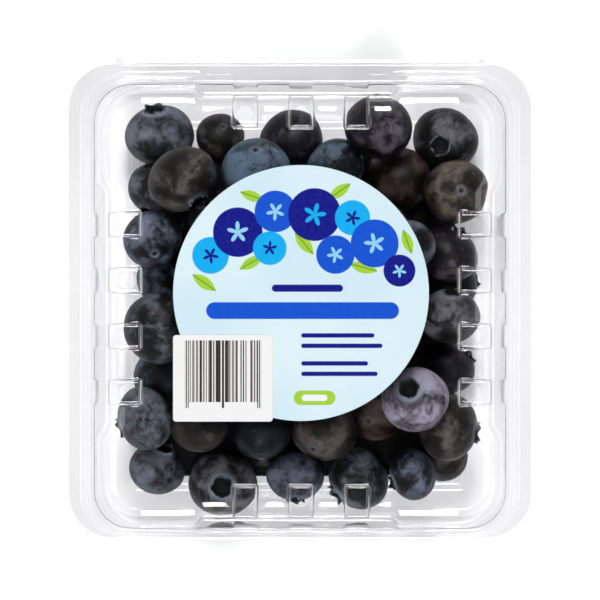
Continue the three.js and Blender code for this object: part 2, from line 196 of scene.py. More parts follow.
def thickened(thing: bpy.types.Object, thickness: float, sharp: float = 50.0) -> bpy.types.Object:
    """Gives a skin its wall inwards and marks the edges that stay sharp.

    Args:
        thing: Object whose faces look outwards.
        thickness: Wall in millimetres.
        sharp: Angle in degrees past which an edge isn't shaded round.

    Returns:
        The same object with its closed mesh.
    """
    wall = thing.modifiers.new("wall", "SOLIDIFY")
    wall.thickness = thickness * MM
    wall.offset = -1.0
    wall.use_rim = True
    graph = bpy.context.evaluated_depsgraph_get()
    closed = bpy.data.meshes.new_from_object(thing.evaluated_get(graph))
    thing.modifiers.clear()
    thing.data = closed
    closed.set_sharp_from_angle(angle=math.radians(sharp))
    return thing


def filleted(controls: Sequence[tuple[np.ndarray, float | np.ndarray]]) -> np.ndarray:
    """Rows of a loft through control rings, with its corners rounded.

    A control ring P with a radius becomes the parabola (1-t)^2 A + 2t(1-t) P + t^2 B. A and B lie on the
    way to the ring before and after, at the radius, or where a rounded ring meets it half way at most.
    A rounded ring gives FILLET_ROWS rows, a plain one gives one.

    Args:
        controls: Rings of shape (samples, 3), each with its radius in millimetres, 0 for a plain ring.

    Returns:
        Rows of shape (rows, samples, 3).
    """
    rings = [np.asarray(ring, float) for ring, _ in controls]
    rounded = [bool(np.max(radius) > 0) for _, radius in controls]
    half_way, nearly_all = 0.5, 0.96

    def towards(at: int, other: int, radius: float | np.ndarray) -> np.ndarray:
        """Finds the ring a rounding radius away from one control, on the way to another.

        Args:
            at: Number of the control that is rounded.
            other: Number of the control on one side of it.
            radius: How far the ring lies from the first.

        Returns:
            Ring of shape (samples, 3).
        """
        way = rings[other] - rings[at]
        length = np.linalg.norm(way, axis=1, keepdims=True)
        most = half_way if rounded[other] else nearly_all
        reach = np.broadcast_to(np.asarray(radius, float), (len(way),))[:, None]
        return rings[at] + way * np.minimum(reach / np.maximum(length, SMALL), most)

    rows = []
    for at, (ring, radius) in enumerate(controls):
        if not rounded[at]:
            rows.append(rings[at])
            continue
        start = towards(at, at - 1, radius)
        end = towards(at, at + 1, radius)
        for t in np.linspace(0, 1, FILLET_ROWS):
            rows.append((1 - t) ** 2 * start + 2 * t * (1 - t) * rings[at] + t * t * end)
    return np.stack(rows)


def smooth(value: np.ndarray) -> np.ndarray:
    """Eases a share from 0 to 1, as 3t^2 - 2t^3."""
    t = np.clip(value, 0, 1)
    return t * t * (3 - 2 * t)


# Outline of the pack


@dataclass(frozen=True)
class Loop:
    """Rounded rectangle seen from above, in millimetres."""

    half: float
    front: float
    back: float
    radius: float


@dataclass(frozen=True)
class Pockets:
    """Row of sunk vent pockets along one side: how many, and the middle of the row."""

    count: int
    middle: float
    pitch: float = 14.0

    def middles(self) -> np.ndarray:
        """Middles of the pockets along the side."""
        return self.middle + (np.arange(self.count) - (self.count - 1) / 2) * self.pitch


@dataclass(frozen=True)
class Posts:
    """Where the swollen corners begin along a side, and half the length over which they rise."""

    low: float
    high: float
    run: float


@dataclass(frozen=True)
class PocketForm:
    """Cross-section of a pocket: flat floor and steep walls with round folds."""

    half: float = 3.0
    depth: float = 3.2
    fold: float = 0.6
    steep: float = 84.0
    fold_steps: tuple[float, ...] = (0.0, 28.0, 56.0)
    vent_columns: tuple[float, ...] = (-0.75, -0.5, -1 / 3, -1 / 6, 0.0, 1 / 6, 1 / 3, 0.5, 0.75)

    def wall_half(self) -> float:
        """Half the width that one wall takes with its folds."""
        steep = math.radians(self.steep)
        straight = (self.depth - 2 * self.fold * (1 - math.cos(steep))) / math.tan(steep)
        return self.fold * math.sin(steep) + straight / 2

    def floor_half(self) -> float:
        """Half the width of the flat floor."""
        return self.half - self.wall_half()

    def columns(self, vents: bool) -> np.ndarray:
        """Places across the pocket with the share of its depth reached there.

        A wall is an arc of radius fold, a straight run and a second arc turned the other way.

        Args:
            vents: Whether the floor gets the columns that a round vent needs.

        Returns:
            Array of shape (columns, 2).
        """
        turn = np.radians([*self.fold_steps, self.steep])
        across = self.fold * np.sin(turn)
        down = self.fold * (1 - np.cos(turn)) / self.depth
        outer = np.stack([-self.half - self.wall_half() + across, down], axis=1)
        inner = np.stack([-self.floor_half() - across, 1 - down], axis=1)[::-1]
        wall = np.concatenate([outer, inner])
        inside = self.vent_columns if vents else (0.0,)
        floor = np.array([[share * self.floor_half(), 1.0] for share in inside])
        mirrored = wall[::-1] * [-1, 1]
        return np.concatenate([wall, floor, mirrored])


@dataclass
class Marks:
    """Samples along one side, with the share by which each is sunk and belongs to a corner post."""

    RISE_STEPS: ClassVar[int] = 6

    at: np.ndarray
    sunk: np.ndarray
    post: np.ndarray

    @classmethod
    def along(cls, pockets: Pockets, posts: Posts, form: PocketForm, vents: bool) -> Marks:
        """Lays the samples of one side.

        Args:
            pockets: The row of pockets on this side.
            posts: Where the corner posts begin.
            form: The pocket's cross-section.
            vents: Whether pocket floors get the columns of a round vent.

        Returns:
            The marks, in rising order.
        """
        columns = form.columns(vents)
        rise = np.linspace(-1, 1, cls.RISE_STEPS)
        eased = smooth((rise + 1) / 2)
        at = [posts.low + posts.run * rise]
        sunk = [np.zeros(len(rise))]
        post = [1 - eased]
        for middle in pockets.middles():
            at.append(middle + columns[:, 0])
            sunk.append(columns[:, 1])
            post.append(np.zeros(len(columns)))
        at.append(posts.high + posts.run * rise)
        sunk.append(np.zeros(len(rise)))
        post.append(eased)
        return cls(np.concatenate(at), np.concatenate(sunk), np.concatenate(post))


class Turn:
    """One turn round the pack, counter-clockwise from the front end of the right side.

    Every ring has the same samples, so rings join into a loft. Their shares are arrays: sunk inside a
    pocket, post at a swollen corner, back along the hinge edge, and hinge, which fades out round the
    back corners.
    """

    GAP = np.array([0.25, 0.5, 0.75])
    ARC = 14
    HINGE_TAPER = 0.25
    LEAST_RADIUS = 0.6

    def __init__(self, side: Marks, end: Marks) -> None:
        """Keeps the marks and works out the shares all round.

        Args:
            side: Marks of the right and left side.
            end: Marks of the front and back.
        """
        self.side = side
        self.end = end
        arc = np.linspace(0, 1, self.ARC + 1)
        fade = smooth(arc / self.HINGE_TAPER)
        none = np.zeros(len(arc))
        sides, ends = self._padded(side), self._padded(end)
        straight = [sides, ends[:, ::-1], sides[:, ::-1], ends]
        hinge = [0.0, 1.0, 0.0, 0.0]
        arcs = [fade, fade[::-1], none, none]
        sunk, post, back, hinges = [], [], [], []
        for (low, high), share, corner in zip(straight, hinge, arcs):
            sunk += [low, none]
            post += [high, none + 1]
            back += [low * 0 + share, none]
            hinges += [low * 0 + share, corner]
        self.sunk = np.concatenate(sunk)
        self.post = np.concatenate(post)
        self.back = np.concatenate(back)
        self.hinge = np.concatenate(hinges)

    def _padded(self, marks: Marks) -> np.ndarray:
        """Adds the gap samples at both ends of a side.

        Args:
            marks: The side's marks.

        Returns:
            Sunk and post shares, of shape (2, samples).
        """
        gap = np.zeros(len(self.GAP))
        sunk = np.concatenate([gap, marks.sunk, gap])
        post = np.concatenate([gap + 1, marks.post, gap + 1])
        return np.stack([sunk, post])

    def _straight(self, marks: Marks, low: float, high: float) -> np.ndarray:
        """Lays the samples of a side whose straight part runs from low to high.

        Args:
            marks: The side's marks.
            low: Start of the straight part.
            high: End of the straight part.

        Returns:
            Places along the side.
        """
        first, last = marks.at[0], marks.at[-1]
        before = low + (first - low) * self.GAP
        after = last + (high - last) * self.GAP
        return np.concatenate([before, marks.at, after])

    def ring(self, loop: Loop, inset: float, height: float | np.ndarray,
             push: float | np.ndarray = 0.0) -> np.ndarray:
        """Samples of one rounded rectangle, each moved out along its normal and set to a height.

        Args:
            loop: The rounded rectangle.
            inset: How far inside it the ring lies.
            height: Height of the samples.
            push: How far each sample is moved outwards.

        Returns:
            Points of shape (samples, 3).
        """
        half, front, back = loop.half - inset, loop.front + inset, loop.back - inset
        radius = max(loop.radius - inset, self.LEAST_RADIUS)
        sides = self._straight(self.side, front + radius, back - radius)
        ends = self._straight(self.end, radius - half, half - radius)
        x, y, out_x, out_y = [], [], [], []

        def line(px: np.ndarray, py: np.ndarray, nx: float, ny: float) -> None:
            """Adds a straight side.

            Args:
                px: Places across the pack.
                py: Places along the pack.
                nx: Outward direction across.
                ny: Outward direction along.
            """
            x.append(px)
            y.append(py)
            out_x.append(px * 0 + nx)
            out_y.append(px * 0 + ny)

        def arc(cx: float, cy: float, start: float) -> None:
            """Adds a quarter circle.

            Args:
                cx: Its middle across the pack.
                cy: Its middle along the pack.
                start: Angle in degrees at which it begins.
            """
            angle = np.radians(start + np.linspace(0, 90, self.ARC + 1))
            x.append(cx + radius * np.cos(angle))
            y.append(cy + radius * np.sin(angle))
            out_x.append(np.cos(angle))
            out_y.append(np.sin(angle))

        line(sides * 0 + half, sides, 1, 0)
        arc(half - radius, back - radius, 0)
        line(ends[::-1], ends * 0 + back, 0, 1)
        arc(radius - half, back - radius, 90)
        line(sides * 0 - half, sides[::-1], -1, 0)
        arc(radius - half, front + radius, 180)
        line(ends, ends * 0 + front, 0, -1)
        arc(half - radius, front + radius, 270)
        x, y = np.concatenate(x), np.concatenate(y)
        out_x, out_y = np.concatenate(out_x), np.concatenate(out_y)
        z = np.broadcast_to(np.asarray(height, float), x.shape)
        return np.stack([x + out_x * push, y + out_y * push, z], axis=1)


@dataclass(frozen=True)
class PackForm:
    """Sizes that the tray and the lid share."""

    wall: float = 0.15
    flange_top: float = 33.3
    lid_gap: float = 0.3
    shell: float = 0.5
    side_pockets: Pockets = Pockets(4, -2.1)
    end_pockets: Pockets = Pockets(3, 0.25)
    side_posts: Posts = Posts(-33.0, 28.4, 2.3)
    end_posts: Posts = Posts(-25.3, 23.8, 1.2)
    pocket: PocketForm = PocketForm()

    @property
    def tray_top(self) -> float:
        """Height of the tray's flange."""
        return self.flange_top - self.shell - self.lid_gap

    def turn(self, vents: bool) -> Turn:
        """Lays one turn round the pack.

        Args:
            vents: Whether pocket floors get the columns of a round vent.

        Returns:
            The turn.
        """
        side = Marks.along(self.side_pockets, self.side_posts, self.pocket, vents)
        end = Marks.along(self.end_pockets, self.end_posts, self.pocket, vents)
        return Turn(side, end)


# Shader nodes


class Tree:
    """Short way to lay shader nodes in a material, a world or a group."""

    def __init__(self, tree: bpy.types.NodeTree) -> None:
        """Keeps the node tree that nodes go into."""
        self.tree = tree

    def node(self, kind: str, **settings: object) -> bpy.types.Node:
        """Adds a node and sets its properties.

        Args:
            kind: Node type without its ShaderNode prefix.
            settings: Properties of the node.

        Returns:
            The node.
        """
        made = self.tree.nodes.new("ShaderNode" + kind)
        for key, value in settings.items():
            setattr(made, key, value)
        return made

    def feed(self, socket: bpy.types.NodeSocket, source: object) -> None:
        """Links a socket to a source socket, or sets its value.

        Args:
            socket: Input that is fed.
            source: Output socket, number, vector or colour.
        """
        if isinstance(source, bpy.types.NodeSocket):
            self.tree.links.new(source, socket)
        elif isinstance(source, tuple) and socket.type == "RGBA":
            socket.default_value = (*source, 1.0)
        else:
            socket.default_value = source

    def math(self, operation: str, *inputs: object) -> bpy.types.NodeSocket:
        """Adds a Math node.

        Args:
            operation: What it works out.
            inputs: Its sockets' sources.

        Returns:
            The result.
        """
        made = self.node("Math", operation=operation)
        for socket, source in zip(made.inputs, inputs):
            self.feed(socket, source)
        return made.outputs[0]

    def mix(self, share: object, first: object, second: object) -> bpy.types.NodeSocket:
        """Mixes two colours.

        Args:
            share: How much of the second is taken.
            first: Colour at a share of 0.
            second: Colour at a share of 1.

        Returns:
            The mixed colour.
        """
        made = self.node("MixRGB")
        for socket, source in zip(made.inputs, (share, first, second)):
            self.feed(socket, source)
        return made.outputs[0]

    def spread(self, value: object, low: object, high: object, start: object = 0.0,
               end: object = 1.0, eased: bool = True) -> bpy.types.NodeSocket:
        """Maps a value from one range to another, held at its ends.

        Args:
            value: The value.
            low: Where the mapping starts.
            high: Where it ends.
            start: Result at low.
            end: Result at high.
            eased: Whether the ends are eased.

        Returns:
            The mapped value.
        """
        kind = "SMOOTHSTEP" if eased else "LINEAR"
        made = self.node("MapRange", interpolation_type=kind)
        for socket, source in zip(made.inputs, (value, low, high, start, end)):
            self.feed(socket, source)
        return made.outputs[0]

    def noise(self, place: object, scale: float, detail: float = 3.0, rough: float = 0.55,
              twist: float = 0.0) -> bpy.types.NodeSocket:
        """Adds a noise.

        Args:
            place: Where it is read.
            scale: How many waves it has in a unit.
            detail: How many finer layers it has.
            rough: How strong the finer layers are.
            twist: How much it is distorted.

        Returns:
            The noise's value.
        """
        made = self.node("TexNoise")
        for name, source in (("Vector", place), ("Scale", scale), ("Detail", detail),
                             ("Roughness", rough), ("Distortion", twist)):
            self.feed(made.inputs[name], source)
        return made.outputs[0]

    def parts(self, vector: object) -> tuple[bpy.types.NodeSocket, ...]:
        """Splits a vector into its three parts.

        Args:
            vector: The vector.

        Returns:
            The three parts.
        """
        made = self.node("SeparateXYZ")
        self.feed(made.inputs[0], vector)
        return tuple(made.outputs)

    def offset(self, place: object, middle: object) -> bpy.types.NodeSocket:
        """Takes one place from another.

        Args:
            place: The place.
            middle: What is taken from it.

        Returns:
            The difference.
        """
        made = self.node("VectorMath", operation="SUBTRACT")
        self.feed(made.inputs[0], place)
        self.feed(made.inputs[1], middle)
        return made.outputs[0]

    def bump(self, strength: float, depth: float, height: object) -> bpy.types.NodeSocket:
        """Adds fine relief.

        Args:
            strength: How much of it shows, from 0 to 1.
            depth: How deep it is in millimetres.
            height: Height over the surface.

        Returns:
            The bent normal.
        """
        made = self.node("Bump")
        self.feed(made.inputs["Strength"], strength)
        self.feed(made.inputs["Distance"], depth * MM)
        self.feed(made.inputs["Height"], height)
        return made.outputs[0]

    def group(self, inner: bpy.types.NodeTree, **inputs: object) -> bpy.types.Node:
        """Adds a node group.

        Args:
            inner: The group's tree.
            inputs: Its inputs' sources by name, with _ for a space.

        Returns:
            The group node.
        """
        made = self.node("Group", node_tree=inner)
        for key, source in inputs.items():
            self.feed(made.inputs[key.replace("_", " ")], source)
        return made


class Groups:
    """Shader node groups, each built once when it is first asked for."""

    @staticmethod
    def _open(name: str, vectors: Sequence[str], values: dict[str, float],
              outputs: Sequence[str]) -> tuple[Tree, bpy.types.NodeOutputs, bpy.types.NodeInputs]:
        """Starts a group with named sockets.

        Args:
            name: Name of the group.
            vectors: Labels of its vector inputs.
            values: Labels and defaults of its number inputs.
            outputs: Labels of its number outputs.

        Returns:
            The group's tree, what it is given and what it puts out.
        """
        tree = bpy.data.node_groups.new(name, "ShaderNodeTree")
        for label in vectors:
            tree.interface.new_socket(label, in_out="INPUT", socket_type="NodeSocketVector")
        for label, value in values.items():
            socket = tree.interface.new_socket(label, in_out="INPUT", socket_type="NodeSocketFloat")
            socket.default_value = value
        for label in outputs:
            tree.interface.new_socket(label, in_out="OUTPUT", socket_type="NodeSocketFloat")
        start = tree.nodes.new("NodeGroupInput")
        end = tree.nodes.new("NodeGroupOutput")
        return Tree(tree), start.outputs, end.inputs

    @staticmethod
    @cache
    def mottle() -> bpy.types.NodeTree:
        """Patchy mask: two noises of different size, cut between two levels.

        Returns:
            The group's tree.
        """
        finer_by = 4.7
        tree, given, out = Groups._open(
            "mottle", ("Place",), {"Size": 1.0, "Fine": 0.3, "Low": 0.4, "High": 0.6}, ("Mask", "Height"))
        broad = tree.noise(given["Place"], given["Size"], 4.0, 0.6, 0.4)
        small = tree.noise(given["Place"], tree.math("MULTIPLY", given["Size"], finer_by), 5.0, 0.65)
        both = tree.mix(given["Fine"], broad, small)
        tree.feed(out["Mask"], tree.spread(both, given["Low"], given["High"]))
        tree.feed(out["Height"], small)
        return tree.tree

    @staticmethod
    @cache
    def spot() -> bpy.types.NodeTree:
        """Round spot of print: 1 inside its radius, 0 outside, with a narrow soft edge.

        Returns:
            The group's tree.
        """
        tree, given, out = Groups._open("spot", ("Place", "Middle"), {"Radius": 1.0}, ("Mask",))
        apart = tree.node("VectorMath", operation="DISTANCE")
        tree.feed(apart.inputs[0], given["Place"])
        tree.feed(apart.inputs[1], given["Middle"])
        inside = tree.math("SUBTRACT", given["Radius"], apart.outputs["Value"])
        tree.feed(out["Mask"], tree.spread(inside, -PRINT_BLUR, PRINT_BLUR))
        return tree.tree

    @staticmethod
    @cache
    def bar() -> bpy.types.NodeTree:
        """Bar of print with round ends: a spot swept over a straight line of the given half length.

        Returns:
            The group's tree.
        """
        tree, given, out = Groups._open(
            "bar", ("Place", "Middle"), {"Half length": 1.0, "Half height": 1.0}, ("Mask",))
        across, up, _ = tree.parts(tree.offset(given["Place"], given["Middle"]))
        past = tree.math("SUBTRACT", tree.math("ABSOLUTE", across), given["Half length"])
        past = tree.math("MAXIMUM", past, 0.0)
        squares = tree.math("ADD", tree.math("MULTIPLY", past, past), tree.math("MULTIPLY", up, up))
        inside = tree.math("SUBTRACT", given["Half height"], tree.math("SQRT", squares))
        tree.feed(out["Mask"], tree.spread(inside, -PRINT_BLUR, PRINT_BLUR))
        return tree.tree

    @staticmethod
    @cache
    def leaf() -> bpy.types.NodeTree:
        """Leaf of print: between the parabolas v = +-Width (1 - (u/Length)^2) in turned coordinates.

        Returns:
            The group's tree.
        """
        blur, vein_outer, vein_inner = 0.1, 0.22, 0.1
        tree, given, out = Groups._open(
            "leaf", ("Place", "Middle"), {"Turn": 0.0, "Length": 3.0, "Width": 1.0}, ("Mask", "Vein"))
        turned = tree.node("VectorRotate", rotation_type="Z_AXIS")
        tree.feed(turned.inputs["Vector"], given["Place"])
        tree.feed(turned.inputs["Center"], given["Middle"])
        tree.feed(turned.inputs["Angle"], given["Turn"])
        u, v, _ = tree.parts(tree.offset(turned.outputs[0], given["Middle"]))
        along = tree.math("DIVIDE", u, given["Length"])
        slim = tree.math("SUBTRACT", 1.0, tree.math("MULTIPLY", along, along))
        edge = tree.math("MULTIPLY", slim, given["Width"])
        aside = tree.math("ABSOLUTE", v)
        mask = tree.spread(tree.math("SUBTRACT", edge, aside), -blur, blur)
        tree.feed(out["Mask"], mask)
        tree.feed(out["Vein"], tree.math("MULTIPLY", tree.spread(aside, vein_outer, vein_inner), mask))
        return tree.tree

    @staticmethod
    @cache
    def star() -> bpy.types.NodeTree:
        """Five-lobed star of print: inside where the radius is below Radius (0.62 + 0.38 cos 5a).

        Returns:
            The group's tree.
        """
        lobes, swing, middle_reach = 5.0, 0.38, 0.62
        tree, given, out = Groups._open(
            "star", ("Place", "Middle"), {"Radius": 2.0, "Turn": 0.0}, ("Mask",))
        offset = tree.offset(given["Place"], given["Middle"])
        across, up, _ = tree.parts(offset)
        apart = tree.node("VectorMath", operation="LENGTH")
        tree.feed(apart.inputs[0], offset)
        angle = tree.math("ADD", tree.math("ARCTAN2", up, across), given["Turn"])
        wave = tree.math("COSINE", tree.math("MULTIPLY", angle, lobes))
        reach = tree.math("MULTIPLY_ADD", wave, swing, middle_reach)
        edge = tree.math("MULTIPLY", reach, given["Radius"])
        inside = tree.math("SUBTRACT", edge, apart.outputs["Value"])
        tree.feed(out["Mask"], tree.spread(inside, -PRINT_BLUR, PRINT_BLUR))
        return tree.tree


def new_material(name: str) -> tuple[bpy.types.Material, Tree, bpy.types.Node, bpy.types.Node]:
    """Starts a material.

    Args:
        name: Name of the material.

    Returns:
        The material, its tree, its Principled shader and its output node.
    """
    material = bpy.data.materials.new(name)
    material.use_nodes = True
    material.node_tree.nodes.clear()
    tree = Tree(material.node_tree)
    shader = tree.node("BsdfPrincipled")
    output = tree.node("OutputMaterial")
    tree.feed(output.inputs["Surface"], shader.outputs[0])
    return material, tree, shader, output


# Finishes


@dataclass(frozen=True)
class ClearPlastic:
    """Thin thermoformed film: clear, glossy, faintly wavy."""

    name: str
    tint: Colour = (0.944, 0.938, 0.944)
    shadow_tint: Colour = (0.985, 0.991, 0.998)
    roughness: float = 0.03
    bend: float = 1.08
    gloss: float = 1.56
    wave_size: float = 0.07
    wave: float = 0.12
    wave_depth: float = 0.6
    scuff_size: float = 0.16
    scuff_gain: float = 2.6

    def material(self) -> bpy.types.Material:
        """Thin glass that lets lamps through, with the film's gloss as its coat and waves as bump.

        Returns:
            The material.
        """
        material, tree, shader, output = new_material(self.name)
        place = tree.node("TexCoord").outputs["Object"]
        millimetres = tree.node("VectorMath", operation="SCALE")
        tree.feed(millimetres.inputs[0], place)
        tree.feed(millimetres.inputs["Scale"], 1 / MM)
        marks = tree.group(Groups.mottle(), Place=millimetres.outputs[0], Size=self.wave_size,
                           Fine=0.25, Low=0.2, High=0.8)
        scuffs = tree.group(Groups.mottle(), Place=millimetres.outputs[0], Size=self.scuff_size,
                            Fine=0.5, Low=0.52, High=0.75)
        rough = tree.spread(scuffs.outputs["Mask"], 0.0, 1.0, self.roughness,
                            self.roughness * self.scuff_gain)
        tree.feed(shader.inputs["Base Color"], self.tint)
        tree.feed(shader.inputs["Roughness"], rough)
        tree.feed(shader.inputs["Normal"], tree.bump(self.wave, self.wave_depth, marks.outputs["Mask"]))
        shader.inputs["IOR"].default_value = self.bend
        shader.inputs["Coat Weight"].default_value = 1.0
        shader.inputs["Coat Roughness"].default_value = self.roughness
        shader.inputs["Coat IOR"].default_value = self.gloss
        shader.inputs["Transmission Weight"].default_value = 1.0
        clear = tree.node("BsdfTransparent")
        tree.feed(clear.inputs[0], self.shadow_tint)
        both = tree.node("MixShader")
        tree.feed(both.inputs[0], tree.node("LightPath").outputs["Is Shadow Ray"])
        tree.feed(both.inputs[1], shader.outputs[0])
        tree.feed(both.inputs[2], clear.outputs[0])
        tree.feed(output.inputs["Surface"], both.outputs[0])
        return material


@dataclass(frozen=True)
class BerrySkin:
    """Dark skin under a patchy, rubbed waxy bloom, with a dry brown crown and stem scar.

    The colours of skin and bloom, and how much bloom there is, come from the mesh, berry by berry.
    """

    name: str = "blueberry_skin"
    crown: Colour = linear(34, 27, 25)
    # Near black: the crown's dark inside, deepened with painted shade in its hollow.
    pit: Colour = linear(7, 6, 7)
    crown_dust: Colour = linear(124, 131, 146)
    scar: Colour = linear(24, 19, 18)
    # Painted shade: nearly black tones of the heap's core, standing for the shaded depth between the
    # berries.
    painted_shade_tones: tuple[Colour, Colour] = (linear(3, 3, 4), linear(12, 12, 15))
    patch_size: float = 0.15
    patch_fine: float = 0.2
    patch_levels: tuple[float, float] = (0.34, 0.68)
    streak_size: float = 0.3
    streak_scale: tuple[float, float, float] = (1.0, 0.35, 1.4)
    streak_turn: tuple[float, float, float] = (0.5, 0.9, 0.3)
    streak_wear: float = 0.35
    speck_size: float = 0.9
    speck_share: float = 0.5
    grain_size: float = 1.7
    dust: float = 0.2
    bare_roughness: float = 0.4
    bloom_roughness: float = 0.85
    crown_roughness: float = 0.9
    specular: float = 0.2
    relief_size: float = 2.4
    relief: float = 0.3
    relief_depth: float = 0.16

    def material(self) -> bpy.types.Material:
        """Mottled bloom over skin, with specks, rubbed streaks, crown, pit and scar.

        Returns:
            The material.
        """
        material, tree, shader, _ = new_material(self.name)

        def attribute(name: str) -> bpy.types.Node:
            """Node that reads one of the mesh's attributes."""
            return tree.node("Attribute", attribute_name=name)

        place = attribute("skin_place").outputs["Vector"]
        skin = attribute("skin_tone").outputs["Color"]
        wax = attribute("bloom_tone").outputs["Color"]
        share = attribute("bloom_share").outputs["Fac"]
        crown = attribute("crown").outputs["Fac"]
        pit = attribute("pit").outputs["Fac"]
        scar = attribute("scar").outputs["Fac"]
        ring = attribute("ring").outputs["Fac"]

        low, high = self.patch_levels
        patches = tree.group(Groups.mottle(), Place=place, Size=self.patch_size, Fine=self.patch_fine,
                             Low=low, High=high)
        stretched = tree.node("Mapping")
        tree.feed(stretched.inputs["Vector"], place)
        stretched.inputs["Scale"].default_value = self.streak_scale
        stretched.inputs["Rotation"].default_value = self.streak_turn
        rubbed = tree.noise(stretched.outputs[0], self.streak_size, 5.0, 0.7, 0.8)
        wear = tree.math("MULTIPLY", tree.spread(rubbed, 0.46, 0.66), self.streak_wear)
        cover = tree.math("MULTIPLY_ADD", share, 1.2, tree.math("SUBTRACT", patches.outputs["Mask"], 0.52))
        bloom = tree.spread(tree.math("SUBTRACT", cover, wear), -0.06, 1.05)

        dots = tree.node("TexVoronoi", feature="F1")
        tree.feed(dots.inputs["Vector"], place)
        tree.feed(dots.inputs["Scale"], self.speck_size)
        few = tree.spread(tree.noise(place, 0.5, 2.0), 0.5, 0.62)
        specks = tree.math("MULTIPLY", tree.spread(dots.outputs["Distance"], 0.2, 0.1), few)
        grains = tree.spread(tree.noise(place, self.grain_size, 2.0), 0.6, 0.72)

        colour = tree.mix(bloom, skin, wax)
        colour = tree.mix(tree.math("MULTIPLY", specks, self.speck_share), colour, skin)
        colour = tree.mix(tree.math("MULTIPLY", grains, self.dust), colour, wax)
        ringed = tree.math("MULTIPLY", ring, tree.spread(share, 0.18, 0.5))
        colour = tree.mix(ringed, colour, self.crown_dust)
        dry = tree.mix(tree.spread(patches.outputs["Height"], 0.47, 0.6), self.crown, self.crown_dust)
        colour = tree.mix(crown, colour, dry)
        # The pit's near-black colour is partly painted shade in the crown's hollow.
        colour = tree.mix(pit, colour, self.pit)
        colour = tree.mix(scar, colour, self.scar)
        tree.feed(shader.inputs["Base Color"], colour)

        rough = tree.spread(bloom, 0.0, 1.0, self.bare_roughness, self.bloom_roughness, eased=False)
        rough = tree.math("MAXIMUM", rough, tree.math("MULTIPLY", crown, self.crown_roughness))
        tree.feed(shader.inputs["Roughness"], rough)
        shader.inputs["Specular IOR Level"].default_value = self.specular

        fine = tree.noise(place, self.relief_size, 4.0, 0.6)
        height = tree.math("MULTIPLY_ADD", bloom, 0.25, fine)
        tree.feed(shader.inputs["Normal"], tree.bump(self.relief, self.relief_depth, height))
        return material

    def shaded(self) -> bpy.types.Material:
        """Nearly black painted shade standing for the fruit in the depth of the heap, where little light
        reaches.

        Returns:
            The material.
        """
        material, tree, shader, _ = new_material(self.name + "_deep")
        place = flat_place(tree, (0.0, 0.0))
        patches = tree.group(Groups.mottle(), Place=place, Size=self.patch_size, Fine=0.4,
                             Low=0.3, High=0.8)
        # Painted shade: patchy near-black colour, darker than any lit skin.
        tree.feed(shader.inputs["Base Color"], tree.mix(patches.outputs["Mask"], *self.painted_shade_tones))
        shader.inputs["Roughness"].default_value = self.bloom_roughness
        shader.inputs["Specular IOR Level"].default_value = self.specular
        return material


@dataclass(frozen=True)
class PrintedBerry:
    """Flat berry of the label's print, with its place from the label's middle."""

    x: float
    y: float
    radius: float
    colour: Colour
    star: Colour
    turn: float


@dataclass(frozen=True)
class PrintedLeaf:
    """Flat leaf of the label's print: place, turn in degrees and half length."""

    x: float
    y: float
    turn: float
    length: float


@dataclass(frozen=True)
class PrintedBar:
    """Plain bar of the label's print, with round ends."""

    x: float
    y: float
    half_length: float
    half_height: float
    colour: Colour


NAVY = linear(6, 14, 138)
ROYAL = linear(8, 84, 214)
CYAN = linear(4, 178, 246)
SKY = linear(150, 214, 246)
LIME = linear(168, 214, 60)
WHITE = linear(246, 250, 252)
PAPER_BACK = linear(232, 233, 232)


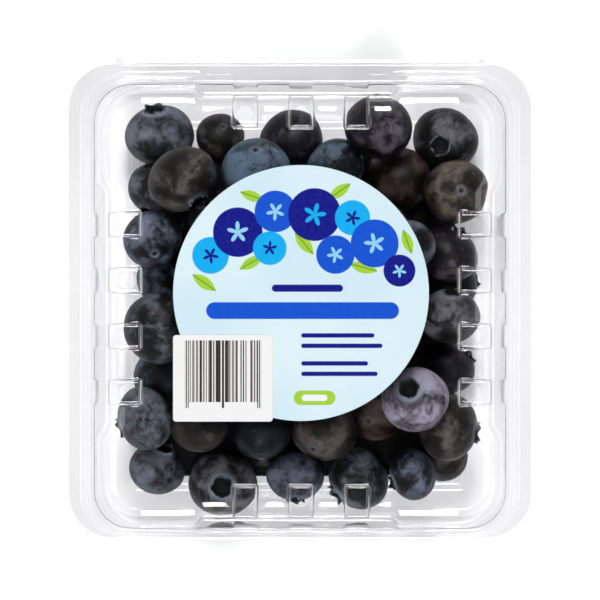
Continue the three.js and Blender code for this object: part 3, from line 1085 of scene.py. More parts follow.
@dataclass(frozen=True)
class LabelPrint:
    """Pale-blue label with a garland of flat berries and leaves over plain bars."""

    name: str
    middle: tuple[float, float]
    level: float
    ground: Colour = linear(214, 239, 250)
    ground_light: Colour = linear(226, 246, 253)
    leaf_vein: Colour = linear(110, 168, 40)
    leaf_width: float = 0.4
    star_reach: float = 0.44
    roughness: float = 0.42
    berries: tuple[PrintedBerry, ...] = (
        PrintedBerry(-22.6, 9.4, 4.6, CYAN, NAVY, 0.2),
        PrintedBerry(-15.8, 15.2, 6.2, NAVY, SKY, 0.9),
        PrintedBerry(-6.4, 20.4, 5.2, ROYAL, SKY, 0.4),
        PrintedBerry(3.4, 19.6, 6.6, NAVY, CYAN, 1.2),
        PrintedBerry(12.9, 18.8, 4.4, CYAN, NAVY, 0.1),
        PrintedBerry(18.4, 12.4, 6.0, ROYAL, SKY, 0.7),
        PrintedBerry(24.6, 5.6, 4.0, NAVY, SKY, 0.3),
        PrintedBerry(-7.8, 11.2, 4.2, CYAN, NAVY, 1.0),
        PrintedBerry(8.6, 9.6, 4.8, ROYAL, SKY, 0.5),
    )
    leaves: tuple[PrintedLeaf, ...] = (
        PrintedLeaf(-24.2, 2.6, 35.0, 3.6),
        PrintedLeaf(-12.4, 7.6, -30.0, 3.4),
        PrintedLeaf(-12.2, 24.2, 20.0, 3.2),
        PrintedLeaf(0.8, 12.4, 50.0, 3.6),
        PrintedLeaf(9.6, 25.4, -35.0, 3.4),
        PrintedLeaf(15.6, 6.4, 15.0, 3.6),
        PrintedLeaf(26.6, 12.8, 70.0, 3.2),
    )
    bars: tuple[PrintedBar, ...] = (
        PrintedBar(1.6, 1.2, 8.0, 0.9, NAVY),
        PrintedBar(0.4, -4.4, 22.0, 2.1, ROYAL),
        PrintedBar(9.2, -10.6, 8.6, 0.55, NAVY),
        PrintedBar(10.2, -13.2, 9.6, 0.55, NAVY),
        PrintedBar(8.4, -17.6, 7.8, 0.55, NAVY),
        PrintedBar(9.6, -20.2, 9.0, 0.55, NAVY),
        PrintedBar(3.4, -26.2, 3.4, 1.8, LIME),
        PrintedBar(3.4, -26.2, 2.4, 0.8, WHITE),
    )

    def material(self) -> bpy.types.Material:
        """Print laid over the ground, motif by motif, on satin paper.

        Returns:
            The material.
        """
        material, tree, shader, _ = new_material(self.name)
        place = flat_place(tree, self.middle)
        light = tree.spread(tree.noise(place, 0.03, 1.0), 0.35, 0.65)
        colour = tree.mix(light, self.ground, self.ground_light)
        for leaf in self.leaves:
            drawn = tree.group(Groups.leaf(), Place=place, Middle=(leaf.x, leaf.y, 0.0),
                               Turn=math.radians(leaf.turn), Length=leaf.length,
                               Width=leaf.length * self.leaf_width)
            colour = tree.mix(drawn.outputs["Mask"], colour, LIME)
            colour = tree.mix(drawn.outputs["Vein"], colour, self.leaf_vein)
        for berry in self.berries:
            middle = (berry.x, berry.y, 0.0)
            disc = tree.group(Groups.spot(), Place=place, Middle=middle, Radius=berry.radius)
            star = tree.group(Groups.star(), Place=place, Middle=middle, Turn=berry.turn,
                              Radius=berry.radius * self.star_reach)
            colour = tree.mix(disc.outputs[0], colour, berry.colour)
            colour = tree.mix(star.outputs[0], colour, berry.star)
        for bar in self.bars:
            drawn = tree.group(Groups.bar(), Place=place, Middle=(bar.x, bar.y, 0.0),
                               Half_length=bar.half_length, Half_height=bar.half_height)
            colour = tree.mix(drawn.outputs[0], colour, bar.colour)
        finish_paper(tree, shader, place, printed_side(tree, self.level, colour), self.roughness)
        return material


@dataclass(frozen=True)
class CodePrint:
    """White sticker with upright bars of uneven width."""

    name: str
    level: float
    left: float = -28.8
    right: float = -9.7
    low: float = -25.5
    high: float = -10.1
    guard_drop: float = 1.5
    guard_width: float = 1.0
    guard_pair: float = 0.5
    guard_filled: float = 0.55
    step: float = 0.31
    filled: float = 0.58
    faint_share: float = 0.45
    roughness: float = 0.4
    paper: Colour = linear(248, 248, 249)
    ink: Colour = linear(62, 50, 42)
    ink_faint: Colour = linear(150, 139, 131)

    def material(self) -> bpy.types.Material:
        """Bars where white noise, held over steps of equal width, is below a level.

        Thin pairs of bars at both ends and in the middle reach lower, and a second noise fades some of
        the bars between them.

        Returns:
            The material.
        """
        material, tree, shader, _ = new_material(self.name)
        place = flat_place(tree, (0.0, 0.0))
        across, up, _ = tree.parts(place)
        column = tree.math("FLOOR", tree.math("DIVIDE", across, self.step))
        random = tree.node("TexWhiteNoise", noise_dimensions="1D")
        tree.feed(random.inputs["W"], column)
        bars = tree.math("LESS_THAN", random.outputs["Value"], self.filled)
        faded = tree.node("TexWhiteNoise", noise_dimensions="1D")
        tree.feed(faded.inputs["W"], tree.math("ADD", column, 0.5))
        middle, half = (self.left + self.right) / 2, (self.right - self.left) / 2
        off = tree.math("ABSOLUTE", tree.math("SUBTRACT", across, middle))
        inside = tree.math("LESS_THAN", off, half)
        guard = tree.math("MAXIMUM", tree.math("LESS_THAN", off, self.guard_width / 2),
                          tree.math("GREATER_THAN", off, half - self.guard_width))
        pair = tree.math("FRACT", tree.math("DIVIDE", off, self.guard_pair))
        thin = tree.math("LESS_THAN", pair, self.guard_filled)
        foot = tree.math("MULTIPLY_ADD", guard, -self.guard_drop, self.low)
        high = tree.math("MULTIPLY", tree.math("GREATER_THAN", up, foot),
                         tree.math("LESS_THAN", up, self.high))
        bars = tree.mix(guard, bars, thin)
        ink = tree.math("MULTIPLY", bars, tree.math("MULTIPLY", inside, high))
        faint = tree.math("LESS_THAN", faded.outputs["Value"], self.faint_share)
        faint = tree.math("MULTIPLY", faint, tree.math("SUBTRACT", 1.0, guard))
        shade = tree.mix(faint, self.ink, self.ink_faint)
        colour = tree.mix(ink, self.paper, shade)
        finish_paper(tree, shader, place, printed_side(tree, self.level, colour), self.roughness)
        return material


def flat_place(tree: Tree, middle: tuple[float, float]) -> bpy.types.NodeSocket:
    """Place on a flat label in millimetres.

    Args:
        tree: The material's tree.
        middle: Point of the part that becomes the middle.

    Returns:
        Vector socket whose height is 0.
    """
    mapping = tree.node("Mapping")
    tree.feed(mapping.inputs["Vector"], tree.node("TexCoord").outputs["Object"])
    mapping.inputs["Location"].default_value = (-middle[0], -middle[1], 0.0)
    mapping.inputs["Scale"].default_value = (1 / MM, 1 / MM, 0.0)
    return mapping.outputs[0]


def printed_side(tree: Tree, level: float, colour: bpy.types.NodeSocket) -> bpy.types.NodeSocket:
    """Leaves the underside of a label plain white.

    Args:
        tree: The material's tree.
        level: Height in millimetres half way through the paper.
        colour: The print on its upper side.

    Returns:
        The colour of both sides.
    """
    _, _, height = tree.parts(tree.node("TexCoord").outputs["Object"])
    upper = tree.math("GREATER_THAN", height, level * MM)
    return tree.mix(upper, PAPER_BACK, colour)


def finish_paper(tree: Tree, shader: bpy.types.Node, place: bpy.types.NodeSocket,
                 colour: bpy.types.NodeSocket, rough: float) -> None:
    """Gives a printed label its satin surface.

    Args:
        tree: The material's tree.
        shader: Its Principled shader.
        place: Place on the label in millimetres.
        colour: The finished print.
        rough: Middle roughness.
    """
    wear, uneven, specular, relief, relief_depth = 0.012, 0.06, 0.12, 0.12, 0.05
    grain = tree.group(Groups.mottle(), Place=place, Size=0.9, Fine=0.6, Low=0.3, High=0.7)
    mask = grain.outputs["Mask"]
    worn = tree.mix(tree.spread(mask, 0.0, 1.0, 0.0, wear), colour, WHITE)
    tree.feed(shader.inputs["Base Color"], worn)
    tree.feed(shader.inputs["Roughness"], tree.spread(mask, 0.0, 1.0, rough - uneven, rough + uneven))
    shader.inputs["Specular IOR Level"].default_value = specular
    tree.feed(shader.inputs["Normal"], tree.bump(relief, relief_depth, grain.outputs["Height"]))


# The pack


@dataclass
class Tray:
    """Clear tray: flat foot round a raised panel, fluted walls, and the flange the lid lies on."""

    form: PackForm
    mouth: Loop = Loop(51.5, -57.2, 54.0, 9.0)
    edge: Loop = Loop(58.2, -59.85, 59.45, 11.1)
    draft: float = 1.4
    foot_round: float = 3.6
    foot_width: float = 3.0
    foot_flat: float = 0.4
    panel_rise: float = 1.2
    panel_band: float = 12.0
    panel_round: float = 0.8
    flute: float = 0.8
    flute_start: float = 1.6
    flute_end: float = 4.0
    flute_inset: float = 0.86
    flute_round: float = 1.0
    rim_round: float = 1.4
    film: float = 0.16
    name: str = "tray_film"

    def build(self) -> bpy.types.Object:
        """Lofts the tray's outer skin from the middle of its underside up to the flange's edge.

        Returns:
            The closed tray.
        """
        turn = self.form.turn(vents=False)
        top = self.form.tray_top
        shell = self.form.shell
        fluted = -self.flute * turn.sunk
        foot = self.draft + self.foot_round
        panel = foot + self.foot_width
        low = self.foot_round + self.flute_start

        def ring(inset: float, height: float, push: float | np.ndarray = 0.0) -> np.ndarray:
            """Lays a ring of the mouth's outline.

            Args:
                inset: How far inside the outline it lies.
                height: Its height.
                push: How far each sample is moved outwards.

            Returns:
                Points of shape (samples, 3).
            """
            return turn.ring(self.mouth, inset, height, push)

        controls = [
            (ring(panel + self.panel_band, self.panel_rise), 0),
            (ring(panel + self.panel_rise, self.panel_rise), self.panel_round),
            (ring(panel, 0.0), self.panel_round),
            (ring(foot + self.foot_flat, 0.0), 0),
            (ring(self.draft - shell, 0.0), self.foot_round),
            (ring(self.draft * self.flute_inset - shell, low, fluted), self.flute_round),
            (ring(-shell, top - self.flute_end, fluted), self.flute_round),
            (ring(-shell, top - shell), self.rim_round),
            (turn.ring(self.edge, 0.0, top - shell), 0),
        ]
        rows = filleted(controls)
        middle = (self.mouth.front + self.mouth.back) / 2
        tray = lofted(self.name, rows, (0.0, middle, self.panel_rise), turned=True)
        return thickened(tray, self.film)

    def dress(self, tray: bpy.types.Object, film: bpy.types.Material) -> None:
        """Gives the tray its film and sets it on the base body in place of its CAD solid.

        Args:
            tray: The closed tray.
            film: Its finish.
        """
        tray.data.materials.append(film)
        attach(tray, BASE_BODY)
        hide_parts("tray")


@dataclass
class Lid:
    """Clear lid: flat top with sunk, vented pockets, sloping dome, bead, flange and lip."""

    form: PackForm
    dome: Loop = Loop(48.3, -55.0, 51.7, 9.0)
    bead_inner: Loop = Loop(52.0, -57.8, 54.5, 9.5)
    bead_outer: Loop = Loop(54.9, -59.6, 57.2, 10.5)
    edge: Loop = Loop(59.1, -60.75, 59.45, 12.0)
    top: float = 41.0
    bulge: float = 2.2
    bead_height: float = 1.6
    bead_slope: float = 0.8
    bead_round: float = 0.8
    bead_foot_round: float = 0.7
    edge_round: float = 0.5
    dome_foot_round: float = 0.8
    lip: float = 1.6
    lip_at_hinge: float = 0.1
    plateau_inset: float = 1.4
    plateau_hold: float = 0.6
    shoulder_round: float = 4.0
    pocket_outer: float = 0.3
    pocket_inner: float = 8.2
    pocket_slope: float = 0.4
    pocket_inner_round: float = 0.5
    pocket_outer_round: float = 0.6
    vent_radius: float = 2.2
    vent_inset: float = 5.2
    vent_room: float = 2.4
    name: str = "lid_film"

    def build(self) -> bpy.types.Object:
        """Lofts the lid's outer skin from the middle outwards and opens its vents.

        Returns:
            The closed lid.
        """
        turn = self.form.turn(vents=True)
        flange = self.form.flange_top
        swell = self.bulge * turn.post
        floor = self.top - self.form.pocket.depth * turn.sunk
        shoulder = swell + (self.plateau_inset - self.pocket_outer) * turn.sunk
        bead = flange + self.bead_height * (1 - turn.back * (1 - turn.post))
        foot = flange - self.form.shell - self.lip * (1 - turn.hinge) - self.lip_at_hinge * turn.hinge
        inner = turn.ring(self.dome, self.pocket_inner, floor)
        outer = turn.ring(self.dome, self.plateau_inset, floor, shoulder)
        reach = self.pocket_inner - self.pocket_outer
        vent_rows = np.array([-1.0, *self.form.pocket.vent_columns, 1.0])
        insets = self.vent_inset - self.vent_room * vent_rows
        shares = (self.pocket_inner - insets) / reach
        hold = (1 - self.plateau_hold * (1 - turn.sunk))[:, None]
        controls = [
            (turn.ring(self.dome, 2 * self.pocket_inner, self.top), 0),
            (turn.ring(self.dome, self.pocket_inner + self.pocket_slope, self.top), self.pocket_inner_round),
            (inner, self.pocket_inner_round),
            *[(inner + share * hold * (outer - inner), 0) for share in shares],
            (outer, self.pocket_outer_round * turn.sunk + self.shoulder_round * (1 - turn.sunk)),
            (turn.ring(self.dome, 0.0, flange, swell), self.dome_foot_round),
            (turn.ring(self.bead_inner, 0.0, flange), self.bead_foot_round),
            (turn.ring(self.bead_inner, -self.bead_slope, bead), self.bead_round),
            (turn.ring(self.bead_outer, self.bead_slope, bead), self.bead_round),
            (turn.ring(self.bead_outer, 0.0, flange), self.bead_foot_round),
            (turn.ring(self.edge, 0.0, flange), self.edge_round),
            (turn.ring(self.edge, 0.0, foot), 0),
        ]
        rows = filleted(controls)
        rings_before_floor = 2
        first = 1 + rings_before_floor * FILLET_ROWS
        keep = self._open_vents(rows, turn, first, vent_rows)
        middle = (self.dome.front + self.dome.back) / 2
        lid = lofted(self.name, rows, (0.0, middle, self.top), keep)
        return thickened(lid, self.form.wall)

    def vents(self) -> list[tuple[np.ndarray, np.ndarray]]:
        """Finds every vent, seen from above.

        Returns:
            Middle and outward direction of each.
        """
        places = []
        x = self.dome.half - self.vent_inset
        for y in self.form.side_pockets.middles():
            places.append((np.array([x, y]), np.array([1.0, 0.0])))
            places.append((np.array([-x, y]), np.array([-1.0, 0.0])))
        for at in self.form.end_pockets.middles():
            places.append((np.array([at, self.dome.back - self.vent_inset]), np.array([0.0, 1.0])))
            places.append((np.array([at, self.dome.front + self.vent_inset]), np.array([0.0, -1.0])))
        return places

    def _open_vents(self, rows: np.ndarray, turn: Turn, first: int, steps: np.ndarray) -> np.ndarray:
        """Moves the floor samples of every pocket round its vent and opens the quads inside it.

        A sample at (u, v) of the square floor keeps its direction from the middle. Half way out it lands
        on the vent's circle, at the edge it stays on the square, and between them it is mixed.

        Args:
            rows: The lid's rows, changed in place.
            turn: The turn that the rows were made with.
            first: Number of the first floor row.
            steps: Places of the floor rows and columns, from -1 to 1.

        Returns:
            Which quads stay.
        """
        u, v = np.meshgrid(steps, steps)
        far = np.maximum(np.maximum(np.abs(u), np.abs(v)), SMALL)
        length = np.maximum(np.hypot(u, v), SMALL)
        mixed = np.clip(2 * far - 1, 0, 1)
        half = self.form.pocket.floor_half()
        across = (1 - mixed) * self.vent_radius * u / length + mixed * half * u / far
        out = (1 - mixed) * self.vent_radius * v / length + mixed * self.vent_room * v / far
        keep = np.ones((len(rows) - 1, rows.shape[1]), dtype=bool)
        place = turn.ring(self.dome, self.vent_inset, 0.0)[:, :2]
        on_the_row, half_out = 0.5, 0.5
        open_from = int(np.argmin(np.abs(steps + half_out)))
        open_to = int(np.argmin(np.abs(steps - half_out)))
        for middle, outward in self.vents():
            offset = place - middle
            sideways = np.array([-outward[1], outward[0]])
            along = offset @ sideways
            beside = np.abs(along) < half + SMALL
            near = beside & (np.abs(offset @ outward) < on_the_row) & (turn.sunk > 1 - SMALL)
            columns = np.flatnonzero(near)
            columns = columns[np.argsort(along[columns])]
            spot = middle + across[..., None] * sideways + out[..., None] * outward
            block = np.ix_(np.arange(first, first + len(steps)), columns)
            rows[..., :2][block] = spot
            inside = np.ix_(np.arange(first + open_from, first + open_to), columns[open_from:open_to])
            keep[inside] = False
        return keep

    def dress(self, lid: bpy.types.Object, film: bpy.types.Material) -> None:
        """Gives the lid its film and sets it on the lid's body in place of its CAD solid.

        Args:
            lid: The closed lid.
            film: Its finish.
        """
        lid.data.materials.append(film)
        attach(lid, LID_BODY)
        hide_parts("lid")


@dataclass
class HingeWeb:
    """Living hinge: a strip of film that runs out from the tray's edge and back to the lid's."""

    form: PackForm
    edge: float = 59.5
    axis: float = 60.3
    radius: float = 0.45
    film: float = 0.16
    half: float = 46.5
    turn_steps: int = 13
    across_steps: int = 31
    bend_reach: float = 0.9
    name: str = "hinge_film"

    @property
    def height(self) -> float:
        """Height of the hinge's axis."""
        return self.form.tray_top + self.form.lid_gap / 2

    def build(self) -> bpy.types.Object:
        """Carries a closed U-shaped section along the back edge.

        The section follows two legs and a half circle round the axis, once outside and once inside.

        Returns:
            The strip.
        """
        turn = np.radians(np.linspace(-90, 90, self.turn_steps))

        def path(radius: float) -> np.ndarray:
            """Follows a leg, a half circle and a leg.

            Args:
                radius: How far they run from the axis.

            Returns:
                Places along the pack and heights, of shape (samples, 2).
            """
            y = np.concatenate([[self.edge], self.axis + radius * np.cos(turn), [self.edge]])
            z = np.concatenate([[-radius], radius * np.sin(turn), [radius]])
            return np.stack([y, z + self.height], axis=1)

        section = np.concatenate([path(self.radius), path(self.radius - self.film)[::-1]])
        across = np.linspace(-self.half, self.half, self.across_steps)
        points = np.concatenate(
            [np.broadcast_to(across[:, None, None], (len(across), len(section), 1)),
             np.broadcast_to(section, (len(across), *section.shape))], axis=2)
        quads = ring_quads(len(across), len(section)).reshape(-1, 4)
        left = self._cap(len(section), 0)
        right = self._cap(len(section), (len(across) - 1) * len(section))[:, ::-1]
        return surface_object(self.name, points.reshape(-1, 3), np.concatenate([quads, left, right]))

    def _cap(self, count: int, start: int) -> np.ndarray:
        """Closes one end of the strip between its outer and inner path.

        Args:
            count: Samples of the section.
            start: Number of the section's first vertex.

        Returns:
            Quads of shape (n, 4).
        """
        outer = np.arange(count // 2)
        inner = count - 1 - outer
        return start + np.stack([outer[:-1], outer[1:], inner[1:], inner[:-1]], axis=1)

    def dress(self, web: bpy.types.Object, film: bpy.types.Material) -> None:
        """Gives the strip its film, bakes its place into its mesh and hides the CAD solid it replaces.

        Args:
            web: The strip.
            film: Its finish.
        """
        web.data.materials.append(film)
        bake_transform(web)
        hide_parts("hinge_web")


@dataclass
class Papers:
    """Round label stuck on the lid and the code sticker stuck half over it."""

    top: float
    gap: float = 0.05
    paper: float = 0.22
    label_x: float = 0.25
    label_y: float = 1.75
    label_radius: float = 32.0
    sticker: tuple[float, float, float, float] = (-31.75, -6.8, -30.4, -8.75)
    sticker_radius: float = 0.8
    label_steps: int = 144
    corner_steps: int = 6
    edge_steps: int = 7
    inner_rows: tuple[float, float] = (0.5, 0.9)
    edge_scale: float = 12.0

    @property
    def label_bottom(self) -> float:
        """Height of the label's underside."""
        return self.top + self.gap

    @property
    def sticker_bottom(self) -> float:
        """Height of the sticker's underside."""
        return self.label_bottom + self.paper + self.gap

    def level(self, bottom: float) -> float:
        """Height half way through a sheet with the given underside."""
        return bottom + self.paper / 2

    def _sheet(self, name: str, outline: np.ndarray, middle: np.ndarray, bottom: float) -> bpy.types.Object:
        """Thin closed sheet with softly rounded edges.

        The outline is scaled about its middle. Rows run from the underside's middle to the edge and back
        over the top, and the edge's rows follow a half circle as high as the paper is thick. A scale is a
        share of the outline, so the half circle is divided by edge_scale, about half a sheet's width.

        Args:
            name: Name of the piece.
            outline: Edge seen from above, counter-clockwise, of shape (samples, 2).
            middle: Middle of the sheet.
            bottom: Height of its underside.

        Returns:
            The sheet.
        """
        half = self.paper / 2
        turn = np.radians(np.linspace(-90, 90, self.edge_steps))
        edge = 1 - (1 - np.cos(turn)) * half / self.edge_scale
        reach = np.concatenate([self.inner_rows, edge, self.inner_rows[::-1]])
        heights = bottom + half + half * np.concatenate([[-1, -1], np.sin(turn), [1, 1]])
        flat = middle + (outline - middle)[None] * reach[:, None, None]
        levels = np.broadcast_to(heights[:, None, None], (*flat.shape[:2], 1))
        rows = np.concatenate([flat, levels], axis=2)
        quads, fans = ball_faces(*rows.shape[:2])
        poles = np.array([[*middle, heights[0]], [*middle, heights[-1]]])
        return surface_object(name, np.concatenate([rows.reshape(-1, 3), poles]), quads, fans)

    def build_label(self) -> bpy.types.Object:
        """Round label on the flat of the lid.

        Returns:
            The label.
        """
        angle = np.linspace(0, 2 * np.pi, self.label_steps, endpoint=False)
        middle = np.array([self.label_x, self.label_y])
        outline = middle + self.label_radius * np.stack([np.cos(angle), np.sin(angle)], axis=1)
        return self._sheet("round_label", outline, middle, self.label_bottom)

    def build_sticker(self) -> bpy.types.Object:
        """Rectangular sticker with small round corners, over the label's edge.

        Returns:
            The sticker.
        """
        left, right, low, high = self.sticker
        radius = self.sticker_radius
        quarter = np.radians(np.linspace(0, 90, self.corner_steps))
        corners = [(right, high, 0), (left, high, 90), (left, low, 180), (right, low, 270)]
        points = []
        for x, y, start in corners:
            cx = x - math.copysign(radius, x - (left + right) / 2)
            cy = y - math.copysign(radius, y - (low + high) / 2)
            angle = quarter + math.radians(start)
            points.append(np.stack([cx + radius * np.cos(angle), cy + radius * np.sin(angle)], axis=1))
        middle = np.array([(left + right) / 2, (low + high) / 2])
        return self._sheet("code_patch", np.concatenate(points), middle, self.sticker_bottom)

    def dress(self, sheet: bpy.types.Object, paper: bpy.types.Material, node: str, slot: str) -> None:
        """Gives a sheet its print and sets it on the lid's body in place of its CAD solid.

        Args:
            sheet: Label or sticker.
            paper: Its print.
            node: CAD node that it replaces.
            slot: Material slot of that node; not used.
        """
        sheet.data.materials.append(paper)
        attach(sheet, LID_BODY)
        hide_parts(node)


# The fruit


class Tone(Enum):
    """Skin and bloom colours that the berries have."""

    BLUE = (linear(8, 10, 14), linear(94, 114, 134))
    INDIGO = (linear(9, 9, 13), linear(100, 107, 126))
    SLATE = (linear(9, 9, 11), linear(101, 106, 116))
    STONE = (linear(11, 10, 9), linear(104, 103, 107))
    BROWN = (linear(14, 12, 11), linear(90, 86, 84))
    TAN = (linear(18, 14, 11), linear(100, 90, 80))
    PURPLE = (linear(12, 9, 14), linear(96, 92, 105))
    RED = (linear(20, 9, 7), linear(94, 78, 72))
    LAVENDER = (linear(18, 15, 24), linear(146, 142, 158))


@dataclass(frozen=True)
class Berry:
    """One berry: place, radius, where its crown faces, how much bloom it has and of which tone.

    The heading turns from +X to +Y and the tilt is measured from straight up, both in degrees. The bloom
    shifts the level that its patches are cut at: below 0 the berry is rubbed nearly bare.
    """

    x: float
    y: float
    r: float
    heading: float
    tilt: float
    bloom: float = 0.4
    tone: Tone = Tone.SLATE


# Bloom and tone set each berry's brightness; where a berry lies in the heap's shade, as by the label, its
# low bloom partly paints that shade.
SEEN_LOW = (
    Berry(-36.1, 42.4, 8.9, 100, 62, 0.54, Tone.SLATE),
    Berry(-20.6, 42.2, 6.2, 250, 150, 0.30, Tone.BROWN),
    Berry(-2.2, 41.2, 8.1, 308, 156, 0.08, Tone.PURPLE),
    Berry(37.5, 41.3, 8.4, 229, 20, 0.22, Tone.STONE),
    Berry(-36.7, 28.2, 7.5, 250, 70, 0.30, Tone.SLATE),
    Berry(-35.9, 5.1, 6.9, 20, 120, 0.34, Tone.BLUE),
    Berry(-35.9, -19.9, 7.7, 0, 130, 0.18, Tone.BLUE),
    Berry(-36.9, -43.4, 7.4, 70, 62, 0.50, Tone.SLATE),
    Berry(-19.9, -47.3, 8.8, 270, 4, 0.42, Tone.STONE),
    Berry(-10.1, -36.1, 6.9, 40, 140, 0.02, Tone.BROWN),
    Berry(-1.2, -45.2, 7.4, 270, 75, 0.32, Tone.INDIGO),
    Berry(15.0, -45.9, 8.5, 215, 78, 0.37, Tone.SLATE),
    Berry(37.4, -41.0, 6.1, 120, 140, 0.15, Tone.BROWN),
    Berry(28.9, -44.7, 6.8, 200, 80, 0.38, Tone.INDIGO),
    Berry(19.1, -28.1, 8.2, 60, 150, 0.32, Tone.RED),
    Berry(38.7, -17.3, 7.1, 30, 80, 0.08, Tone.PURPLE),
    Berry(40.0, 4.3, 6.6, 10, 100, -0.05, Tone.SLATE),
    Berry(25.1, 30.9, 8.7, 320, 150, 0.04, Tone.RED),
    Berry(9.1, 34.1, 7.7, 130, 120, 0.22, Tone.BLUE),
    Berry(43.3, 26.1, 5.1, 0, 60, 0.45, Tone.LAVENDER),
)
SEEN_HIGH = (
    Berry(-29.7, 30.5, 9.0, 304, 68, 0.28, Tone.BROWN),
    Berry(-11.3, 33.1, 8.8, 270, 138, 0.56, Tone.BLUE),
    Berry(20.0, 44.0, 8.9, 80, 120, 0.20, Tone.PURPLE),
    Berry(39.7, 27.6, 8.3, 190, 170, 0.36, Tone.TAN),
    Berry(-37.5, 15.6, 7.6, 100, 142, 0.42, Tone.INDIGO),
    Berry(-36.3, -7.2, 9.2, 13, 131, 0.22, Tone.SLATE),
    Berry(-39.6, -30.4, 8.1, 200, 84, 0.44, Tone.SLATE),
    Berry(-25.3, -31.6, 7.7, 300, 130, 0.20, Tone.BROWN),
    Berry(-9.9, -34.0, 7.5, 90, 120, -0.20, Tone.BLUE),
    Berry(6.1, -33.2, 8.6, 60, 130, 0.32, Tone.BROWN),
    Berry(38.0, -32.6, 8.6, 350, 82, 0.34, Tone.BROWN),
    Berry(38.2, -4.1, 7.9, 85, 66, 0.36, Tone.STONE),
    Berry(37.6, 11.8, 7.9, 59, 72, 0.06, Tone.PURPLE),
    Berry(27.2, 13.6, 7.2, 290, 60, 0.30, Tone.INDIGO),
    Berry(29.1, -25.1, 8.5, 122, 27, 0.56, Tone.LAVENDER),
)


@dataclass(frozen=True)
class HiddenRows:
    """Rows of fruit hidden under the round label, laid on a grid."""

    xs: tuple[float, ...]
    ys: tuple[float, ...]
    r: float
    first_heading: float
    heading_step: float = 137
    tilt_step: float = 61
    least_tilt: float = 40
    tilt_range: float = 100
    # Little bloom, so hidden berries seen in gaps show dark: partly their own tone, partly painted shade.
    least_bloom: float = 0.05
    bloom_step: float = 0.08
    bloom_steps: int = 4

    def berries(self) -> list[Berry]:
        """Lays the berries, each turned a golden-angle step on from the one before.

        Returns:
            The berries, row by row.
        """
        laid = []
        for i, (y, x) in enumerate((y, x) for y in self.ys for x in self.xs):
            heading = self.first_heading + self.heading_step * i
            tilt = self.least_tilt + (self.tilt_step * i) % self.tilt_range
            bloom = self.least_bloom + self.bloom_step * (i % self.bloom_steps)
            laid.append(Berry(x, y, self.r, heading, tilt, bloom))
        return laid


